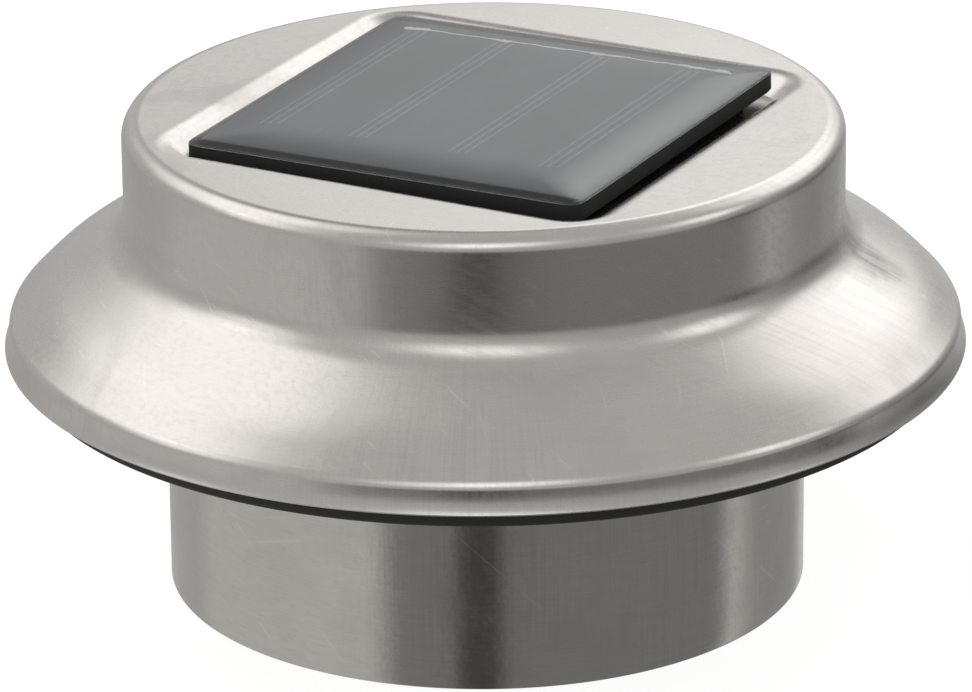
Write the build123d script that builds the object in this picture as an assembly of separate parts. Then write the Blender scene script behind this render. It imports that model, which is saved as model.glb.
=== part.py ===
"""Round solar fence light: a spun stainless hat on a black base plate, with a plain
stainless sleeve below it and a clamp bracket behind it.

Millimetres, +Z up. The origin is on the lamp's axis in the plane of the sleeve's lower
edge, on which the lamp stands. +X runs along the front edge of the solar panel, and +Y
points to the fence.
"""

import os
from math import cos, hypot, radians, sin, sqrt, tan

from build123d import *

# ---- sheet metal -----------------------------------------------------------------
sheet = 0.6  # stainless sheet of the hat and the sleeve
touch = 0.05  # gap left between faces that only meet
soft_gap = 0.3  # gap left round rubber and foam

# ---- sleeve ----------------------------------------------------------------------
sleeve_height = 29.8
sleeve_stand_off = 2.7  # from the well's wall to the sleeve's outside
sleeve_flange_width = 7.8
sleeve_bend = 1.2  # outer bend radius between the wall and its flange

# ---- hat -------------------------------------------------------------------------
brim_overhang = 13.1  # from the sleeve's flange to the brim's edge
brim_lift = 2.6  # brim edge above the base plate's underside
brim_band_height = 3.9
brim_band_lean = 0.9  # how far the band leans in over its height
cone_rise = 11.3
cone_shoulder_inset = 4.6  # the cone grows steeper from here to the brim's bend
cone_shoulder_rise = 4.7
cone_shoulder_round = 25.0
crown_room = 3.9  # from the inner housing to the crown's outside
crown_height = 15.15  # from the cone's foot line to the top sheet
crown_edge_round = 2.4
cone_blend = 6.0
brim_bend_round = 1.8

# ---- pressed recess and solar panel ----------------------------------------------
recess_margin = 0.79  # flat sheet between the recess's corners and the crown's round edge
recess_wall_run = 3.0  # how far the recess's walls lean in over its depth
recess_depth = 2.6
recess_corner = 2.4
recess_edge_round = 1.3
panel_gap = 0.3  # between the panel and the foot of the recess's walls
panel_thickness = 2.8
panel_corner = 1.6
panel_stands_proud = 1.0  # of the panel's middle above the top sheet
panel_tilt_x = 0.57  # the panel is glued in by hand, a little out of level
panel_tilt_y = -0.78
backing_thickness = 1.2
resin_edge_round = 0.7
cell_count = 4
cell_gap = 0.6
cell_side_margin = 1.4  # between the outer cells and the panel's sides
cell_end_margin = 2.6
cell_thickness = 0.25
ribbon_width = 1.6
ribbon_thickness = 0.12
ribbon_inset = 3.2  # from the cells' rear ends
pad_margin = 3.4  # between the foam pad and the foot of the recess's walls
grommet_y = -8.0
grommet_neck_radius = 3.2
grommet_bore_radius = 1.7
grommet_lip = 1.2
grommet_lip_thickness = 0.55

# ---- base plate ------------------------------------------------------------------
plate_inset = 2.6  # from the brim's edge to the plate's
plate_thickness = 2.0
rim_wall = 1.8
plate_edge_round = 0.5
rim_gap = 0.35  # between the rim's top and the hat
well_wall = 1.6
well_room = 0.304  # between the battery cover's corners and the well's wall
well_rise = 3.0  # the middle of the underside lies this much higher

# ---- inner housing ---------------------------------------------------------------
housing_wall = 1.6
housing_boss_gap = 0.3  # between the wall and the screw bosses outside it
bond_thickness = 0.7
bond_outer_radius = 27.0
bond_width = 6.0
bond_inner_radius = bond_outer_radius - bond_width
gasket_thickness = 0.6
gasket_inset = 0.15
screw_inset = 3.6  # from the sleeve flange's edge to the screws
sleeve_screw_angle = 30
housing_screw_angle = 90
boss_radius = 2.8
boss_height = 6.5
lead_hole_radius = 5.2

# ---- screws ----------------------------------------------------------------------
m2_radius = 1.0
m2_head_radius = 1.9
m2_head_height = 1.3
m25_radius = 1.2
m25_head_radius = 2.2
m25_head_height = 1.5
m3_radius = 1.45
m3_head_radius = 2.7
m3_head_height = 2.0
m4_radius = 2.0
m4_head_radius = 3.7
m4_head_height = 2.3
thread_play = 0.05  # radial, between a screw and the hole it turns in
hole_play = 0.2  # radial, round a screw that only passes through
sleeve_screw_length = 6.5
housing_screw_length = 8.0
switch_screw_length = 2.9

# ---- lens, reflector and light-emitting diodes ---------------------------------------
lens_radius = 12.2
lens_thickness = 1.8
lens_bulge = 1.1
lens_window_radius = 10.8
lens_ledge = 1.0
lens_gasket_thickness = 0.6
lens_play = 0.15
collar_wall = 1.5
collar_height = 3.2
reflector_wall = 0.8
reflector_height = 8.4
reflector_top_radius = 8.1
led_count = 3
led_circle_radius = 4.6
led_radius = 2.5
led_flange_radius = 2.85
led_flange_height = 1.0
led_body_height = 4.4

# ---- circuit board ---------------------------------------------------------------
board_length = 43.0
board_width = 27.0
board_centre_y = -1.6
board_thickness = 1.6
board_screw_length = 6.0
board_screw_x = 17.5
board_screw_y = -8.0
standoff_radius = 2.7
inductor_radius = 3.6
inductor_height = 5.2
inductor_x = -8.5
inductor_y = 4.5
capacitor_radius = 2.6
capacitor_height = 7.0
capacitor_x = 9.5
capacitor_y = 5.0
chip_length = 4.9
chip_width = 3.9
chip_height = 1.5
chip_x = 6.5
chip_y = -4.5
chip_leg_count = 4  # on each side

# ---- slide switch ----------------------------------------------------------------
switch_y = -24.5
switch_travel = 3.0
switch_length = 14.0
switch_width = 7.2
switch_height = 5.4
switch_ear = 4.6
switch_ear_thickness = 1.5
switch_wall = 1.1
slider_flange_length = 6.8
slider_flange_height = 2.0
slider_stem_length = 3.8
slider_stem_width = 2.6
slider_reach = 2.2  # below the well's underside
slider_play = 0.25

# ---- battery, its tray and cover -------------------------------------------------
cell_radius_aaa = 5.25
cell_length_aaa = 44.5
cell_nub_radius = 1.9
cell_nub_height = 1.0
cell_play = 0.3
battery_gap = 1.0  # between the lens's collar and the battery tray
contact_thickness = 0.4
contact_side = 8.4
spring_room = 3.3
spring_radius = 2.6
spring_wire = 0.6
spring_turns = 2
tray_wall = 1.4
tray_edge_round = 1.2
tray_flange = 0.7
tray_flange_thickness = 1.2
cover_ear_radius = 2.9
cover_ear_reach = 2.45  # from the tray's end to the middle of the ear
cover_play = 0.25
cover_boss_height = 5.0
cover_screw_length = 5.5
drill_room = 0.4  # past a screw's end in a blind hole
cut_room = 3.0  # how far a cutting block passes the piece that it cuts
cover_rib_count = 5
cover_rib_width = 1.0
cover_rib_depth = 0.5

# ---- wires -----------------------------------------------------------------------
wire_radius = 0.6
wire_play = 0.15
wire_bend = 2.4
panel_lead_room = 0.3  # between a lead's end and the panel
panel_lead_spread = 6.0  # of each lead, from the middle to its foot on the board
panel_lead_drop = 3.0  # straight below the housing's top before it spreads
panel_lead_spread_drop = 4.0
panel_lead_shift = 1.5
battery_lead_foot_x = 17.0
battery_lead_foot_y = 7.0
battery_lead_out = 2.0  # beyond the tray's end
battery_lead_over = 2.2  # above the tray
battery_lead_bend = 1.8
battery_lead_rise = 2.6  # of its hole above the battery's middle
switch_lead_x = 2.6
switch_lead_foot_x = 4.0
switch_lead_rise = 4.0  # above the board
switch_lead_inset = 2.0  # from the board's front edge

# ---- clamp bracket ---------------------------------------------------------------
strip_thickness = 1.5
strip_width = 22.0
strip_bend = 3.0  # outer bend radius
strip_corner = 4.0
strip_gap = 0.8  # between the sleeve's flange and the strip's end
leg_stand_off = 12.5  # from the brim's edge to the leg's inner face
leg_bottom_z = 1.6
bracket_screw_x = 6.5
bracket_screw_inset = 4.2
bracket_boss_radius = 3.7
bracket_boss_gap = 0.4  # between the bosses and the cone above them
bracket_boss_roof = 1.5  # solid left above the screws' ends
grip_half_width = 11.0
grip_face_y = 44.6
grip_low_z = 2.0
grip_height = 19.0
clamp_z = 9.6
clamp_screw_radius = 2.5
clamp_nut_radius = 4.6
clamp_nut_height = 4.0
clamp_gap = 5.4  # between the two rubber faces as stored
pad_radius = 6.4
pad_plate = 1.8
pad_boss_radius = 3.9
pad_boss_height = 3.4
pad_rubber = 1.5
tip_radius = 1.9
tip_length = 3.2
knob_radius = 7.0
knob_length = 6.6
knob_gap = 0.8  # between the nut and the knob as stored
knob_flute_count = 12
knob_flute_radius = 1.1
knob_edge_round = 0.8

# ---- heights and radii that follow -----------------------------------------------
collar_inner_radius = lens_radius + lens_play
collar_radius = collar_inner_radius + collar_wall
bay_half_width = cell_radius_aaa + cell_play
bay_half_length = (cell_length_aaa + spring_room) / 2 + contact_thickness + touch
cover_half_width = bay_half_width + tray_wall
cover_half_length = bay_half_length + tray_wall
cover_ear_x = cover_half_length + cover_ear_reach
battery_y = collar_radius + battery_gap + cover_half_width
well_radius = hypot(cover_half_length, battery_y + cover_half_width) + well_room
sleeve_radius = well_radius + sleeve_stand_off
sleeve_inner_radius = sleeve_radius - sheet
flange_radius = sleeve_radius + sleeve_flange_width
screw_radius = flange_radius - screw_inset  # of the circle of screws in the flange
brim_radius = flange_radius + brim_overhang
plate_radius = brim_radius - plate_inset
housing_radius = screw_radius - boss_radius - housing_boss_gap
housing_inner_radius = housing_radius - housing_wall
crown_radius = housing_radius + crown_room
recess_reach = crown_radius - crown_edge_round - recess_margin  # of its corners
recess_half = (recess_reach + recess_corner * (sqrt(2) - 1)) / sqrt(2)
recess_floor_half = recess_half - recess_wall_run
panel_side = 2 * (recess_floor_half - panel_gap)
cell_width = (panel_side - 2 * cell_side_margin - (cell_count - 1) * cell_gap) / cell_count
cell_pitch = cell_width + cell_gap
cell_length = panel_side - 2 * cell_end_margin
pad_half = recess_floor_half - pad_margin
plate_top_z = sleeve_height + plate_thickness
well_z = sleeve_height + well_rise
well_top_z = well_z + plate_thickness
brim_edge_z = sleeve_height + brim_lift
brim_bend_z = brim_edge_z + brim_band_height
brim_bend_radius = brim_radius - brim_band_lean
cone_foot_z = brim_bend_z + cone_rise
top_z = cone_foot_z + crown_height
shoulder_radius = brim_bend_radius - cone_shoulder_inset
shoulder_z = brim_bend_z + cone_shoulder_rise
low_slope = cone_shoulder_rise / cone_shoulder_inset
high_slope = (cone_foot_z - shoulder_z) / (shoulder_radius - crown_radius)
recess_floor_z = top_z - recess_depth
recess_slope = recess_wall_run / recess_depth
panel_top_z = top_z + panel_stands_proud
panel_bottom_z = panel_top_z - panel_thickness
housing_top_z = recess_floor_z - sheet - bond_thickness
gasket_z = plate_top_z
housing_z = gasket_z + gasket_thickness
lens_seat_z = well_z + lens_ledge
lens_z = lens_seat_z + lens_gasket_thickness
lens_top_z = lens_z + lens_thickness
board_z = lens_top_z + reflector_height + touch
board_top_z = board_z + board_thickness
bay_top_z = well_top_z + 2 * (cell_radius_aaa + cell_play)
battery_z = well_top_z + cell_radius_aaa + cell_play
strip_z = sleeve_height - strip_thickness
strip_start_y = flange_radius + strip_gap
bracket_screw_y = strip_start_y + bracket_screw_inset
leg_y = brim_radius + leg_stand_off
rubber_face_y = grip_face_y + clamp_gap
pad_back_y = rubber_face_y + pad_rubber + pad_plate + pad_boss_height
nut_face_y = leg_y + strip_thickness + clamp_nut_height
knob_y = nut_face_y + knob_gap
flange_screw_z = sleeve_height - sheet - 2 * touch
bracket_screw_z = strip_z - 2 * touch
cover_screw_z = well_z + m2_head_height / 2 - touch


seated = (Align.CENTER, Align.CENTER, Align.MIN)  # a box stands on its base's centre


# ---- helpers ---------------------------------------------------------------------
def polar(radius, angle_deg):
    """X and Y of a point on a circle about the lamp's axis."""
    return radius * cos(radians(angle_deg)), radius * sin(radians(angle_deg))


def ring(outer, inner, z, height):
    """Flat ring about the lamp's axis."""
    return Pos(0, 0, z) * extrude(Circle(outer) - Circle(inner), height)


def disc(radius, z, height):
    """Solid disc about the lamp's axis."""
    return Pos(0, 0, z) * extrude(Circle(radius), height)


def post(x, y, z, radius, height):
    """Upright cylinder that starts at z."""
    return Pos(x, y, z) * extrude(Circle(radius), height)


def offset_line(points, gap):
    """Corner points of the line that runs beside an open line, to its right by gap."""
    normals = []
    for a, b in zip(points, points[1:]):
        length = hypot(b[0] - a[0], b[1] - a[1])
        normals.append(((b[1] - a[1]) / length, -(b[0] - a[0]) / length))
    moved = [(points[0][0] + normals[0][0] * gap, points[0][1] + normals[0][1] * gap)]
    for point, m, n in zip(points[1:], normals, normals[1:]):
        scale = gap / (1 + m[0] * n[0] + m[1] * n[1])
        moved.append((point[0] + (m[0] + n[0]) * scale, point[1] + (m[1] + n[1]) * scale))
    end, n = points[-1], normals[-1]
    moved.append((end[0] + n[0] * gap, end[1] + n[1] * gap))
    return moved


def bent_sheet(points, radii, gap):
    """Face of a bent sheet: its line, with a radius at each corner, and the line beside it.

    A corner that turns right, towards the second line, gets a smaller radius there, and
    one that turns left a larger one.
    """
    beside = []
    for a, b, c, radius in zip(points, points[1:], points[2:], radii):
        turn = (b[0] - a[0]) * (c[1] - b[1]) - (b[1] - a[1]) * (c[0] - b[0])
        beside.append(radius - gap if turn < 0 else radius + gap)
    first = FilletPolyline(*points, radius=radii)
    moved = offset_line(points, gap)
    second = FilletPolyline(*moved, radius=beside)
    caps = [Line(points[0], moved[0]), Line(points[-1], moved[-1])]
    return make_face(Curve() + [first, second] + caps)


def turned(face):
    """Full turn about Z of a face drawn as (radius, z)."""
    return revolve(Plane.XZ * face, Axis.Z)


def pan_screw(radius, length, head_radius, head_height):
    """Pan-head screw with a cross recess. Its head lies below z = 0 and its shank above."""
    head = Pos(0, 0, -head_height) * extrude(Circle(head_radius), head_height)
    head = fillet(head.edges().sort_by(Axis.Z)[0], head_height * 0.45)
    slot = Box(head_radius * 1.3, head_radius * 0.28, head_height)
    cross = Pos(0, 0, -head_height) * (slot + Rot(0, 0, 90) * slot)
    shank = extrude(Circle(radius), length)
    shank = chamfer(shank.edges().sort_by(Axis.Z)[-1], radius * 0.4)
    return head - cross + shank


def wire(*points, bend=wire_bend):
    """Insulated wire along straight runs joined by round bends."""
    radii = []
    for a, b, c in zip(points, points[1:], points[2:]):
        p, q, r = Vector(*a), Vector(*b), Vector(*c)
        turn = radians((q - p).get_angle(r - q))
        room = 0.45 * min((q - p).length, (r - q).length) / tan(turn / 2)
        radii.append(min(bend, room))
    path = FilletPolyline(*points, radius=radii)
    start = Plane(origin=path @ 0, z_dir=path % 0)
    return sweep(start * Circle(wire_radius), path=path)


def group(shapes):
    """Separate solids kept together as one node."""
    return Compound(children=list(shapes))


def screw_angles(first):
    """Three angles, a third of a turn apart."""
    return [first + 120 * i for i in range(3)]


housing_angles = screw_angles(housing_screw_angle)
sleeve_angles = screw_angles(sleeve_screw_angle)


# ---- hat -------------------------------------------------------------------------
def hat_points():
    """Corners of the hat's outer line, from the axis to the brim's edge."""
    return [
        (0, top_z),
        (crown_radius, top_z),
        (crown_radius, cone_foot_z),
        (shoulder_radius, shoulder_z),
        (brim_bend_radius, brim_bend_z),
        (brim_radius, brim_edge_z),
    ]


def cone_underside_z(radius):
    """Height of the cone's inner face at a radius."""
    slope = low_slope if radius > shoulder_radius else high_slope
    outer = shoulder_z + (shoulder_radius - radius) * slope
    return outer - sheet * sqrt(1 + slope**2)


def recess_block(grow, extra_depth):
    """Solid that fills the pressed recess, grown sideways and downwards.

    The four walls lean, so the square shrinks steadily from the top sheet to the floor.
    """
    above = 1.0
    depth = recess_depth + extra_depth
    rim = recess_half + grow + recess_slope * above
    floor = recess_half + grow - recess_slope * depth
    corner = recess_corner + grow
    upper = Pos(0, 0, top_z + above) * RectangleRounded(2 * rim, 2 * rim, corner)
    lower = Pos(0, 0, top_z - depth) * RectangleRounded(2 * floor, 2 * floor, corner)
    return loft([upper.face(), lower.face()])


def make_hat_shell():
    rounds = [crown_edge_round, cone_blend, cone_shoulder_round, brim_bend_round]
    shell = turned(bent_sheet(hat_points(), rounds, sheet))
    pressed_wall = sheet * sqrt(1 + recess_slope**2)
    inner_block = recess_block(pressed_wall, sheet)
    wide = 4 * recess_half
    below_top = Pos(0, 0, top_z - sheet - wide) * Box(wide, wide, wide, align=seated)
    shell = shell + (inner_block & below_top) - recess_block(0, 0)
    rim_edges = [
        e
        for e in shell.edges()
        if abs(e.center().Z - top_z) < 0.01
        and abs(e.bounding_box().size.Z) < 0.01
        and max(abs(e.center().X), abs(e.center().Y)) < recess_half + 0.01
    ]
    shell = fillet(rim_edges, recess_edge_round)
    return shell - post(0, grommet_y, recess_floor_z - 2 * sheet, grommet_neck_radius, 4 * sheet)


def make_lead_grommet():
    body = post(0, grommet_y, recess_floor_z - sheet, grommet_neck_radius - touch, sheet)
    lip_radius = grommet_neck_radius + grommet_lip
    body += post(0, grommet_y, recess_floor_z, lip_radius, grommet_lip_thickness)
    body += post(
        0, grommet_y, recess_floor_z - sheet - grommet_lip_thickness, lip_radius, grommet_lip_thickness
    )
    return body - post(0, grommet_y, recess_floor_z - 3, grommet_bore_radius, 6)


# ---- solar panel -----------------------------------------------------------------
def tilt_panel(shape):
    """Turns a piece of the panel about the middle of the panel's underside."""
    return Pos(0, 0, panel_bottom_z) * Rot(panel_tilt_x, panel_tilt_y, 0) * shape


def panel_slab(low, high, inset=0.0):
    """Slab of the panel's outline, between two heights above its underside."""
    side = panel_side - 2 * inset
    outline = RectangleRounded(side, side, panel_corner - inset)
    return Pos(0, 0, low) * extrude(outline, high - low)


def cell_blocks():
    """The cells: parallel strips with their long sides along Y."""
    middle = (cell_count - 1) / 2
    blocks = []
    for i in range(cell_count):
        strip = Box(cell_width, cell_length, cell_thickness, align=seated)
        blocks.append(Pos((i - middle) * cell_pitch, 0, backing_thickness) * strip)
    return blocks


def ribbon_block():
    """Flat tinned ribbon that joins the cells near their rear ends."""
    length = (cell_count - 1) * cell_pitch + cell_width * 0.6
    ribbon = Box(length, ribbon_width, ribbon_thickness, align=seated)
    return Pos(0, cell_length / 2 - ribbon_inset, backing_thickness + cell_thickness) * ribbon


def make_solar_backing():
    return tilt_panel(panel_slab(0, backing_thickness))


def make_solar_cells():
    return group(tilt_panel(block) for block in cell_blocks())


def make_cell_ribbon():
    return tilt_panel(ribbon_block())


def make_resin_cover():
    resin = panel_slab(backing_thickness, panel_thickness)
    resin = fillet(resin.edges().group_by(Axis.Z)[-1], resin_edge_round)
    for block in cell_blocks():
        resin -= block
    return tilt_panel(resin - ribbon_block())


def make_panel_pad():
    """Foam pad between the recess floor and the tilted panel: a thin wedge."""
    pad = Pos(0, 0, recess_floor_z) * extrude(Rectangle(2 * pad_half, 2 * pad_half), panel_thickness)
    pad -= post(0, grommet_y, recess_floor_z - 1, grommet_neck_radius + grommet_lip + soft_gap, 6)
    above = tilt_panel(Box(3 * pad_half, 3 * pad_half, panel_thickness + cut_room, align=seated))
    return pad - above


# ---- base plate ------------------------------------------------------------------
def cover_outline(grow):
    """Battery cover's outline: a long rectangle with a round ear at each end."""
    outline = Rectangle(2 * (cover_half_length + grow), 2 * (cover_half_width + grow))
    for side in (-1, 1):
        outline += Pos(side * cover_ear_x, 0) * Circle(cover_ear_radius + grow)
        neck = Rectangle(2 * cover_ear_reach, 2 * (cover_ear_radius + grow))
        outline += Pos(side * (cover_ear_x - cover_ear_reach), 0) * neck
    return Pos(0, battery_y) * outline


def rim_top_z():
    return cone_underside_z(plate_radius) - rim_gap


def bracket_boss_top_z():
    reach = hypot(bracket_screw_x, bracket_screw_y) + bracket_boss_radius
    return cone_underside_z(reach) - bracket_boss_gap


def bracket_screw_length():
    return bracket_boss_top_z() - bracket_boss_roof - bracket_screw_z


def make_base_plate():
    plate = ring(plate_radius, well_radius, sleeve_height, plate_thickness)
    outer_edges = plate.edges().filter_by(GeomType.CIRCLE).sort_by(SortBy.RADIUS)[-2:]
    plate = fillet(outer_edges.sort_by(Axis.Z)[0], plate_edge_round)
    plate += ring(plate_radius, plate_radius - rim_wall, plate_top_z, rim_top_z() - plate_top_z)
    plate += ring(well_radius + well_wall, well_radius, sleeve_height, well_top_z - sleeve_height)
    plate += disc(well_radius + well_wall, well_z, plate_thickness)
    # collar and ledge that hold the lens
    plate += disc(collar_radius, well_z, plate_thickness + collar_height)
    plate -= disc(collar_inner_radius, lens_seat_z, plate_thickness + 2 * collar_height)
    plate -= disc(lens_window_radius, well_z - 1, plate_thickness)
    # bosses for the sleeve's screws, and standoffs for the board
    for angle in sleeve_angles:
        x, y = polar(screw_radius, angle)
        plate += post(x, y, plate_top_z, boss_radius, boss_height)
        plate -= post(x, y, flange_screw_z, m3_radius + thread_play, sleeve_screw_length + drill_room)
    for side in (-1, 1):
        x, y = side * board_screw_x, board_screw_y
        plate += post(x, y, well_top_z, standoff_radius, board_z - well_top_z)
        drill = m25_radius + thread_play
        plate -= post(x, y, board_z - board_screw_length, drill, 2 * board_screw_length)
        x, y = side * bracket_screw_x, bracket_screw_y
        plate += post(x, y, plate_top_z, bracket_boss_radius, bracket_boss_top_z() - plate_top_z)
        drill = m4_radius + thread_play
        plate -= post(x, y, bracket_screw_z, drill, bracket_screw_length() + drill_room)
    # clearance holes under the housing's bosses
    for angle in housing_angles:
        x, y = polar(screw_radius, angle)
        plate -= post(x, y, sleeve_height - 1, m3_radius + hole_play, plate_thickness + 2)
    # switch slot and its screw holes, and the battery cover's opening
    slot_length = slider_stem_length + switch_travel + 2 * slider_play
    slot = Rectangle(slot_length, slider_stem_width + 2 * slider_play)
    plate -= Pos(0, switch_y, well_z - 1) * extrude(slot, plate_thickness + 2)
    for side in (-1, 1):
        x = side * (switch_length + switch_ear) / 2
        plate -= post(x, switch_y, well_z + 0.4, m2_radius + thread_play, plate_thickness)
    plate -= Pos(0, 0, well_z - 1) * extrude(cover_outline(cover_play), plate_thickness + 2)
    return plate


# ---- sleeve ----------------------------------------------------------------------
def make_sleeve():
    flange_top = sleeve_height - touch
    line = [(sleeve_inner_radius, 0), (sleeve_inner_radius, flange_top), (flange_radius, flange_top)]
    sleeve = turned(bent_sheet(line, [sleeve_bend + sheet], sheet))
    for angle in sleeve_angles + housing_angles:
        x, y = polar(screw_radius, angle)
        sleeve -= post(x, y, flange_top - 2 * sheet, m3_radius + hole_play, 3 * sheet)
    return sleeve


def flange_screw(length, angle):
    """Screw that comes up from below through the sleeve's flange."""
    x, y = polar(screw_radius, angle)
    screw = pan_screw(m3_radius, length, m3_head_radius, m3_head_height)
    return Pos(x, y, flange_screw_z) * screw


def make_sleeve_screws():
    return group(flange_screw(sleeve_screw_length, angle) for angle in sleeve_angles)


def make_housing_screws():
    return group(flange_screw(housing_screw_length, angle) for angle in housing_angles)


# ---- inner housing ---------------------------------------------------------------
def make_inner_housing():
    roof_z = housing_top_z - housing_wall
    housing = disc(housing_radius, housing_z, housing_top_z - housing_z)
    housing = fillet(housing.edges().sort_by(Axis.Z)[-1], housing_wall)
    housing -= disc(housing_inner_radius, 0, roof_z)
    for angle in housing_angles:
        x, y = polar(screw_radius, angle)
        boss = post(x, y, plate_top_z + touch, boss_radius, boss_height)
        boss -= disc(housing_inner_radius, plate_top_z, boss_height + 2)
        web = Pos(*polar(housing_radius, angle), plate_top_z + touch) * extrude(
            Rot(0, 0, angle) * Rectangle(2 * (screw_radius - housing_radius), boss_radius), boss_height
        )
        web -= disc(housing_radius - touch, plate_top_z, boss_height + 2)
        boss -= disc(housing_radius - touch, plate_top_z, gasket_thickness + touch)
        housing += boss + web
        housing -= post(x, y, flange_screw_z, m3_radius + thread_play, housing_screw_length + drill_room)
    hole_z = housing_top_z - housing_wall - cut_room
    return housing - post(0, grommet_y, hole_z, lead_hole_radius, housing_wall + 2 * cut_room)


def make_housing_gasket():
    return ring(
        housing_radius - gasket_inset, housing_inner_radius + gasket_inset, gasket_z, gasket_thickness
    )


def make_bond_ring():
    return ring(bond_outer_radius, bond_inner_radius, housing_top_z, bond_thickness)


# ---- lens, reflector and diodes --------------------------------------------------
def make_lens_gasket():
    return ring(lens_radius, lens_window_radius + soft_gap, lens_seat_z, lens_gasket_thickness)


def make_lens():
    """Flat-backed lens whose lower face bulges down through the window."""
    half = lens_window_radius - lens_play
    bulge = Line((0, lens_top_z), (0, lens_z - lens_bulge))
    bulge += ThreePointArc(
        (0, lens_z - lens_bulge),
        (half * 0.5, lens_z - lens_bulge * 0.75),
        (half, lens_z),
    )
    bulge += Polyline((half, lens_z), (lens_radius, lens_z), (lens_radius, lens_top_z), (0, lens_top_z))
    return turned(make_face(bulge))


def make_reflector():
    """Bright cone between the lens and the board, with a flat rim on the lens."""
    low, high = lens_top_z, lens_top_z + reflector_height
    rim_inner = lens_radius - reflector_wall
    line = Polyline(
        (lens_radius, low),
        (lens_radius, low + reflector_wall),
        (rim_inner + 0.3, low + reflector_wall),
        (reflector_top_radius + reflector_wall, high),
        (reflector_top_radius, high),
        (rim_inner - 0.6, low),
        (lens_radius, low),
    )
    return turned(make_face(line))


def make_leds():
    """Round diodes that hang from the board and point down at the lens."""
    dome_z = -led_flange_height - led_body_height
    body = Pos(0, 0, -led_flange_height) * extrude(Circle(led_flange_radius), led_flange_height)
    body += Pos(0, 0, dome_z) * (extrude(Circle(led_radius), led_body_height) + Sphere(led_radius))
    angles = [90 + 360 / led_count * i for i in range(led_count)]
    return group(Pos(*polar(led_circle_radius, angle), board_z) * body for angle in angles)


# ---- circuit board ---------------------------------------------------------------
def make_circuit_board():
    outline = RectangleRounded(board_length, board_width, 2)
    board = Pos(0, board_centre_y, board_z) * extrude(outline, board_thickness)
    for side in (-1, 1):
        board -= post(side * board_screw_x, board_screw_y, board_z - 1, m25_radius + hole_play, 4)
    return board


def make_board_screws():
    screw = Rot(180, 0, 0) * pan_screw(m25_radius, board_screw_length, m25_head_radius, m25_head_height)
    return group(Pos(s * board_screw_x, board_screw_y, board_top_z + touch) * screw for s in (-1, 1))


def make_inductor():
    """Drum core: a narrow wound waist between two flat ends."""
    end = inductor_height * 0.18
    core = post(inductor_x, inductor_y, board_top_z, inductor_radius, end)
    core += post(inductor_x, inductor_y, board_top_z, inductor_radius * 0.86, inductor_height)
    core += post(inductor_x, inductor_y, board_top_z + inductor_height - end, inductor_radius, end)
    return core


def make_capacitor():
    can = post(capacitor_x, capacitor_y, board_top_z, capacitor_radius, capacitor_height)
    can = fillet(can.edges().sort_by(Axis.Z)[-1], 0.4)
    groove = ring(capacitor_radius + 1, capacitor_radius * 0.93, board_top_z + 1.0, 0.6)
    return can - Pos(capacitor_x, capacitor_y) * groove


def make_driver_chip():
    """Small driver chip with a row of bent legs on each long side."""
    stand = 0.2
    leg_width = 0.42
    leg_reach = 1.0
    pitch = 1.27
    chip = Box(chip_length, chip_width, chip_height, align=seated)
    chip = Pos(0, 0, stand) * chip
    for i in range(chip_leg_count):
        x = (i - (chip_leg_count - 1) / 2) * pitch
        for side in (-1, 1):
            y = side * (chip_width / 2 + leg_reach / 2 - 0.1)
            leg = Box(leg_width, leg_reach, 0.2, align=seated)
            rise = Box(leg_width, 0.2, 0.9, align=seated)
            chip += Pos(x, y, 0) * leg + Pos(x, side * (chip_width / 2 + 0.08), 0) * rise
    return Pos(chip_x, chip_y, board_top_z) * chip


# ---- slide switch ----------------------------------------------------------------
def make_switch_body():
    body = Box(switch_length, switch_width, switch_height, align=seated)
    ears_length = switch_length + 2 * switch_ear
    body += Box(ears_length, switch_width, switch_ear_thickness, align=seated)
    cavity_length = slider_flange_length + switch_travel + 2 * slider_play
    cavity_height = slider_flange_height + 2 * slider_play
    cavity = Box(cavity_length, switch_width - 2 * switch_wall, cavity_height, align=seated)
    body = Pos(0, switch_y, well_top_z) * (body - cavity)
    for side in (-1, 1):
        x = side * (switch_length + switch_ear) / 2
        body -= post(x, switch_y, well_top_z - 1, m2_radius + hole_play, 4)
    return body


def make_switch_slider():
    """Slider at its off end: a flange inside the body and a ridged stem below the plate."""
    flange_width = switch_width - 2 * switch_wall - 2 * slider_play
    flange = Box(slider_flange_length, flange_width, slider_flange_height, align=seated)
    slider = Pos(0, 0, well_top_z + slider_play) * flange
    stem_z = well_z - slider_reach
    stem_height = well_top_z + 2 * slider_play - stem_z
    stem = Box(slider_stem_length, slider_stem_width, stem_height, align=seated)
    slider += Pos(0, 0, stem_z) * stem
    for i in (-1, 0, 1):
        groove = Box(0.5, slider_stem_width + 1, 0.9)
        slider -= Pos(i * slider_stem_length * 0.3, 0, stem_z) * groove
    return Pos(-switch_travel / 2, switch_y, 0) * slider


def make_switch_screws():
    screw = Rot(180, 0, 0) * pan_screw(m2_radius, switch_screw_length, m2_head_radius, m2_head_height)
    x = (switch_length + switch_ear) / 2
    z = well_top_z + switch_ear_thickness + touch
    return group(Pos(side * x, switch_y, z) * screw for side in (-1, 1))


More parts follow.
